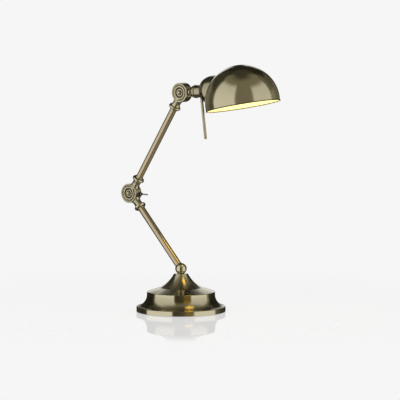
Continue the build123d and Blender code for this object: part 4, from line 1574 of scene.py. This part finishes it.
@dataclass(frozen=True)
class WallLight:
    """Light of the studio walls.

    Two tall soft boxes stand left and right of the camera and grow a little dimmer upwards.
    Between and above them the ceiling is dim, the far side is nearly black, the floor is pale, and
    a gap in the walls behind the lamp, with a post in it, lets the paper show.
    """

    boxes: tuple = (
        Patch(Span(-98, 5, -22, 5), Span(-40, 30, 53, 14)),
        Patch(Span(34, 8, 99, 6), Span(-40, 30, 47, 15), 0.97, by_up=Change(-0.08, 12, 14)),
    )
    box_level: float = 1.03
    box_slope: float = 0.005
    box_slope_span: tuple = (-8.0, 52.0)
    ceiling: Patch = Patch(
        Span(-FAR, 1, 104, 16),
        Span(-8, 12, FAR, 1),
        0.25,
        by_up=Change(-0.1875, 75, 22),
        end_by_up=Change(20, 56, 8),
    )
    zenith: Patch = Patch(ALL_ROUND, Span(60, 16, FAR, 1), 0.07)
    sides: tuple = (
        Patch(LEFT_SIDE, LOW_BAND, 0.22, by_across=Change(-0.10, -124, 14)),
        Patch(LEFT_SIDE, HIGH_BAND, 0.06),
        Patch(RIGHT_SIDE, LOW_BAND, 0.34, Change(-0.14, 120, 16), end_by_up=RIGHT_SIDE_CUT),
        Patch(RIGHT_SIDE, HIGH_BAND, 0.17, Change(-0.05, 120, 16), end_by_up=RIGHT_SIDE_CUT),
    )
    floor: tuple = (
        Patch(ALL_ROUND, Span(-FAR, 1, -18, 20), 0.11),
        Patch(Span(0, 30, 130, 40), Span(-62, 20, -18, 20), 0.24),
    )
    darkest: float = 0.025
    gap: Patch = Patch(Span(164, 6, FAR, 1), Span(-1, 2, 29, 9))
    post: Patch = Patch(Span(176, 3, FAR, 1), Span(12, 5, FAR, 1))
    warm: Patch = Patch(Span(12, 8, 36, 6), Span(-24, 10, -1, 5))

    def box_light(self, across: Array, up: Array) -> Array:
        """Light of the two soft boxes.

        Args:
            across: angle to the camera's right, in degrees.
            up: angle above the horizon, in degrees.
        Returns:
            The light at each angle, about 1 in a box and 0 outside both.
        """
        low, high = self.box_slope_span
        slope = self.box_level - self.box_slope * (np.clip(up, low, high) - low)
        return slope * sum(box.light(across, up) for box in self.boxes)

    def room_light(self, across: Array, up: Array) -> Array:
        """Light of the ceiling, the sides and the floor, the brightest of them at each angle.

        Args:
            across: angle to the camera's right, in degrees.
            up: angle above the horizon, in degrees.
        Returns:
            The light at each angle.
        """
        parts = [patch.light(np.abs(across), up) for patch in (self.ceiling, self.zenith)]
        parts += [side.light(across, up) for side in self.sides]
        parts.append(sum(patch.light(across, up) for patch in self.floor))
        return np.maximum.reduce([np.full(up.shape, self.darkest), *parts])

    def opening(self, across: Array, up: Array) -> Array:
        """How open the walls are behind the lamp, on both sides of the post, from 0 to 1."""
        wide = np.abs(across)
        return self.gap.light(wide, up) * (1 - self.post.light(wide, up))


@dataclass
class Studio:
    """Camera, floor, soft lamps, and the walls and dark cards that the metal reflects."""

    azimuth: float = 38.75
    elevation: float = 5.25
    distance: float = 5.5
    lens: float = 276.5
    aim_right: float = 0.03414
    aim_up: float = 0.20094
    far_clip: float = 100.0
    paper: float = 0.92
    plain: float = 0.72
    matt: float = 0.93
    floor_reach: float = 40.0
    shadow: float = 0.22
    shadow_reach: tuple = (0.30, 0.75)
    mirror: float = 0.27
    mirror_reach: tuple = (0.30, 0.42)
    columns: int = 360
    wall_rows: int = 181
    wall_radius: float = 3.0
    box_tint: tuple = (1.0, 0.99, 0.98)
    room_tint: tuple = (1.0, 0.95, 0.72)
    warm_tint: tuple = (0.16, 0.075, 0.0)
    card_rows: int = 25
    card_radius: float = 0.3
    card_height: float = 0.24
    card_top: float = 0.9
    card_top_soft: float = 0.16
    card_front: Span = Span(-20, 3, 31, 3)
    card_right: Span = Span(101, 4, 158, 6)
    card_left: Span = Span(99, 4, 160, 6)
    card_front_tint: tuple = (0.058, 0.052, 0.022)
    card_side_tint: tuple = (0.026, 0.025, 0.018)
    amber_side: Span = Span(9, 8, 34, 4)
    amber_level: tuple = (0.07, 0.36)
    amber_tint: tuple = (1.0, 0.56, 0.03)
    lamp_size: tuple = (1.2, 1.6)
    lamp_aim: float = 0.2

    def axes(self) -> tuple:
        """Level directions of the camera.

        Returns:
            The direction to it along the floor, and the direction to its right.
        """
        turn = math.radians(self.azimuth)
        towards = np.array([math.sin(turn), -math.cos(turn), 0.0])
        return towards, np.array([math.cos(turn), math.sin(turn), 0.0])

    def ring(self) -> tuple:
        """Degrees across from the camera, once round.

        Returns:
            The angles in one row, and the level direction at each.
        """
        across = np.linspace(-180, 180, self.columns, endpoint=False)[None, :]
        towards, right = self.axes()
        turn = np.radians(across)[..., None]
        return across, towards * np.cos(turn) + right * np.sin(turn)

    @staticmethod
    def point_at(thing: Piece, ahead: Array) -> None:
        """Turn a camera or a lamp so that it looks along a direction."""
        thing.rotation_euler = Vector(ahead).to_track_quat("-Z", "Y").to_euler()

    def build_camera(self) -> None:
        """Camera far off, on a long lens."""
        towards, right = self.axes()
        tilt = math.radians(self.elevation)
        back = towards * math.cos(tilt) + UP * math.sin(tilt)
        camera = new_object("camera", bpy.data.cameras.new("camera"))
        camera.location = right * self.aim_right + UP * self.aim_up + back * self.distance
        self.point_at(camera, -back)
        camera.data.lens = self.lens
        camera.data.clip_end = self.far_clip
        bpy.context.scene.camera = camera

    def build_world(self) -> None:
        """White paper for the camera and for mirrors, and a plain level for everything else."""
        world = bpy.data.worlds.new("paper")
        bpy.context.scene.world = world
        recipe = Recipe(world, "World")
        path = recipe.add("LightPath").outputs
        seen = recipe.maths("MAXIMUM", path["Is Camera Ray"], path["Is Glossy Ray"])
        through = recipe.maths("MAXIMUM", seen, path["Is Transmission Ray"])
        plain = recipe.add("Background", {"Color": grey(self.plain)})
        paper = recipe.add("Background", {"Color": grey(self.paper)})
        recipe.finish(recipe.add("MixShader", {0: through, 1: plain, 2: paper}))

    def build_floor(self) -> None:
        """Pale floor: paper seen by the camera, which near the lamp takes its shadow and, up to
        some way in front of it, mirrors its foot. Both fade with the distance from the lamp."""
        points = np.array([[-1, -1, 0], [1, -1, 0], [1, 1, 0], [-1, 1, 0]]) * self.floor_reach
        mesh = bpy.data.meshes.new("floor")
        mesh.from_pydata(points, [], [(0, 1, 2, 3)])
        floor = new_object("floor", mesh)
        recipe = Recipe.named("pale_floor")
        place = recipe.add("TexCoord").outputs["Object"]
        away = recipe.add("VectorMath", {0: place}, operation="LENGTH").outputs["Value"]
        shaded = recipe.fade(away, self.shadow_reach, self.shadow)
        mirrored = recipe.fade(away, self.mirror_reach, self.mirror)
        paper = recipe.add("Emission", {"Color": grey(self.paper)})
        matt = recipe.add("BsdfDiffuse", {"Color": grey(self.matt)})
        gloss = recipe.add("BsdfGlossy", {"Roughness": 0.0, "Color": grey(1.0)})
        lit = recipe.add("MixShader", {0: shaded, 1: paper, 2: matt})
        shiny = recipe.add("MixShader", {0: mirrored, 1: lit, 2: gloss})
        mesh.materials.append(recipe.finish(shiny))
        floor.visible_glossy = False

    def build_walls(self) -> None:
        """Walls seen only in reflections: a sphere by longitude and latitude, lit per corner."""
        across, ring = self.ring()
        up = np.linspace(-90, 90, self.wall_rows)[:, None]
        turn = np.radians(up)[..., None]
        grid = (np.cos(turn) * ring + np.sin(turn) * UP) * self.wall_radius + UP * self.aim_up
        wall, angles = WallLight(), np.broadcast_arrays(across, up)
        parts = wall.box_light, wall.room_light, wall.warm.light
        boxes, room, warm = (part(*angles)[..., None] for part in parts)
        dim = room * self.room_tint + warm * self.warm_tint
        light = boxes * self.box_tint + (1 - boxes) * dim
        self.reflected_sheet("walls", grid, light, wall.opening(*angles))

    def build_cards(self) -> None:
        """Dark cards round the foot, seen only in reflections: points on a cylinder about the foot,
        with gaps in front of the soft boxes and behind. One gives off a little amber."""
        across, ring = self.ring()
        level = np.linspace(0.0, 1.0, self.card_rows)[:, None]
        grid = ring * self.card_radius + level[..., None] * self.card_height * UP
        front = self.card_front.share(across)
        sides = self.card_right.share(across) + self.card_left.share(-across)
        there = (front + sides) * (1 - ease(level, self.card_top, self.card_top_soft))
        low, gain = self.amber_level
        amber = self.amber_side.share(across) * (low + gain * level)
        light = front[..., None] * self.card_front_tint + sides[..., None] * self.card_side_tint
        light = light + amber[..., None] * self.amber_tint
        self.reflected_sheet("dark_cards", grid, light, 1 - there)

    def reflected_sheet(
        self, name: str, grid: Array, light: Array, gap: Array
    ) -> None:
        """A strip closed round that only the metal reflects, and not the floor's sharp mirror.

        Args:
            name: name of the stage piece.
            grid: points of shape (rows, columns, 3); the columns close round.
            light: light given off at each point.
            gap: how open the strip is at each point, from 0 to 1.
        """
        index = np.arange(grid[..., 0].size).reshape(grid.shape[:2])
        mesh = bpy.data.meshes.new(name)
        mesh.from_pydata(grid.reshape(-1, 3), [], grid_quads(index, False).tolist())
        colour = np.concatenate([light, gap[..., None]], -1)
        layer = mesh.attributes.new(WALL_LIGHT, "FLOAT_COLOR", "POINT")
        layer.data.foreach_set("color", colour.reshape(-1).astype(np.float32))
        sheet = new_object(name, mesh)
        recipe = Recipe.named(f"studio_{name}")
        value = recipe.add("Attribute", attribute_name=WALL_LIGHT)
        glow = recipe.add("Emission", {"Color": value.outputs["Color"]})
        clear = recipe.add("BsdfTransparent")
        mirrored = recipe.add("LightPath").outputs["Is Singular Ray"]
        opening = recipe.maths("MAXIMUM", value.outputs["Alpha"], mirrored)
        mixed = recipe.add("MixShader", {0: opening, 1: glow, 2: clear})
        mesh.materials.append(recipe.finish(mixed))
        for ray in ("camera", "diffuse", "transmission", "volume_scatter", "shadow"):
            setattr(sheet, f"visible_{ray}", False)

    def build_lamps(self) -> None:
        """Two soft lamps for what isn't metal; they don't show in reflections."""
        towards, right = self.axes()
        for name, place, power in (
            ("left_soft_lamp", towards * 1.4 - right * 1.6 + UP * 1.7, 16.0),
            ("right_soft_lamp", towards * 1.2 + right * 1.6 + UP * 1.3, 9.0),
        ):
            light = bpy.data.lights.new(name, "AREA")
            light.shape = "RECTANGLE"
            light.size, light.size_y = self.lamp_size
            light.energy = power
            lamp = new_object(name, light)
            lamp.location = place
            self.point_at(lamp, UP * self.lamp_aim - place)
            lamp.visible_glossy = False

    def build(self) -> None:
        """Make the studio."""
        self.build_camera()
        self.build_world()
        self.build_floor()
        self.build_walls()
        self.build_cards()
        self.build_lamps()


# ---- the lamp

def main() -> None:
    """Build the lamp's looks and its studio."""
    logging.basicConfig(level=logging.INFO, format="%(name)s: %(message)s")
    stance, shop = Stance.read(), Workshop()
    shop.dress_nodes()
    for assembly in (Base, Ball, Arms, FrictionJoints, Head):
        assembly(stance, shop).build()
    Studio().build()
    bpy.context.scene.view_settings.view_transform = "Standard"


if __name__ == "__main__":
    main()
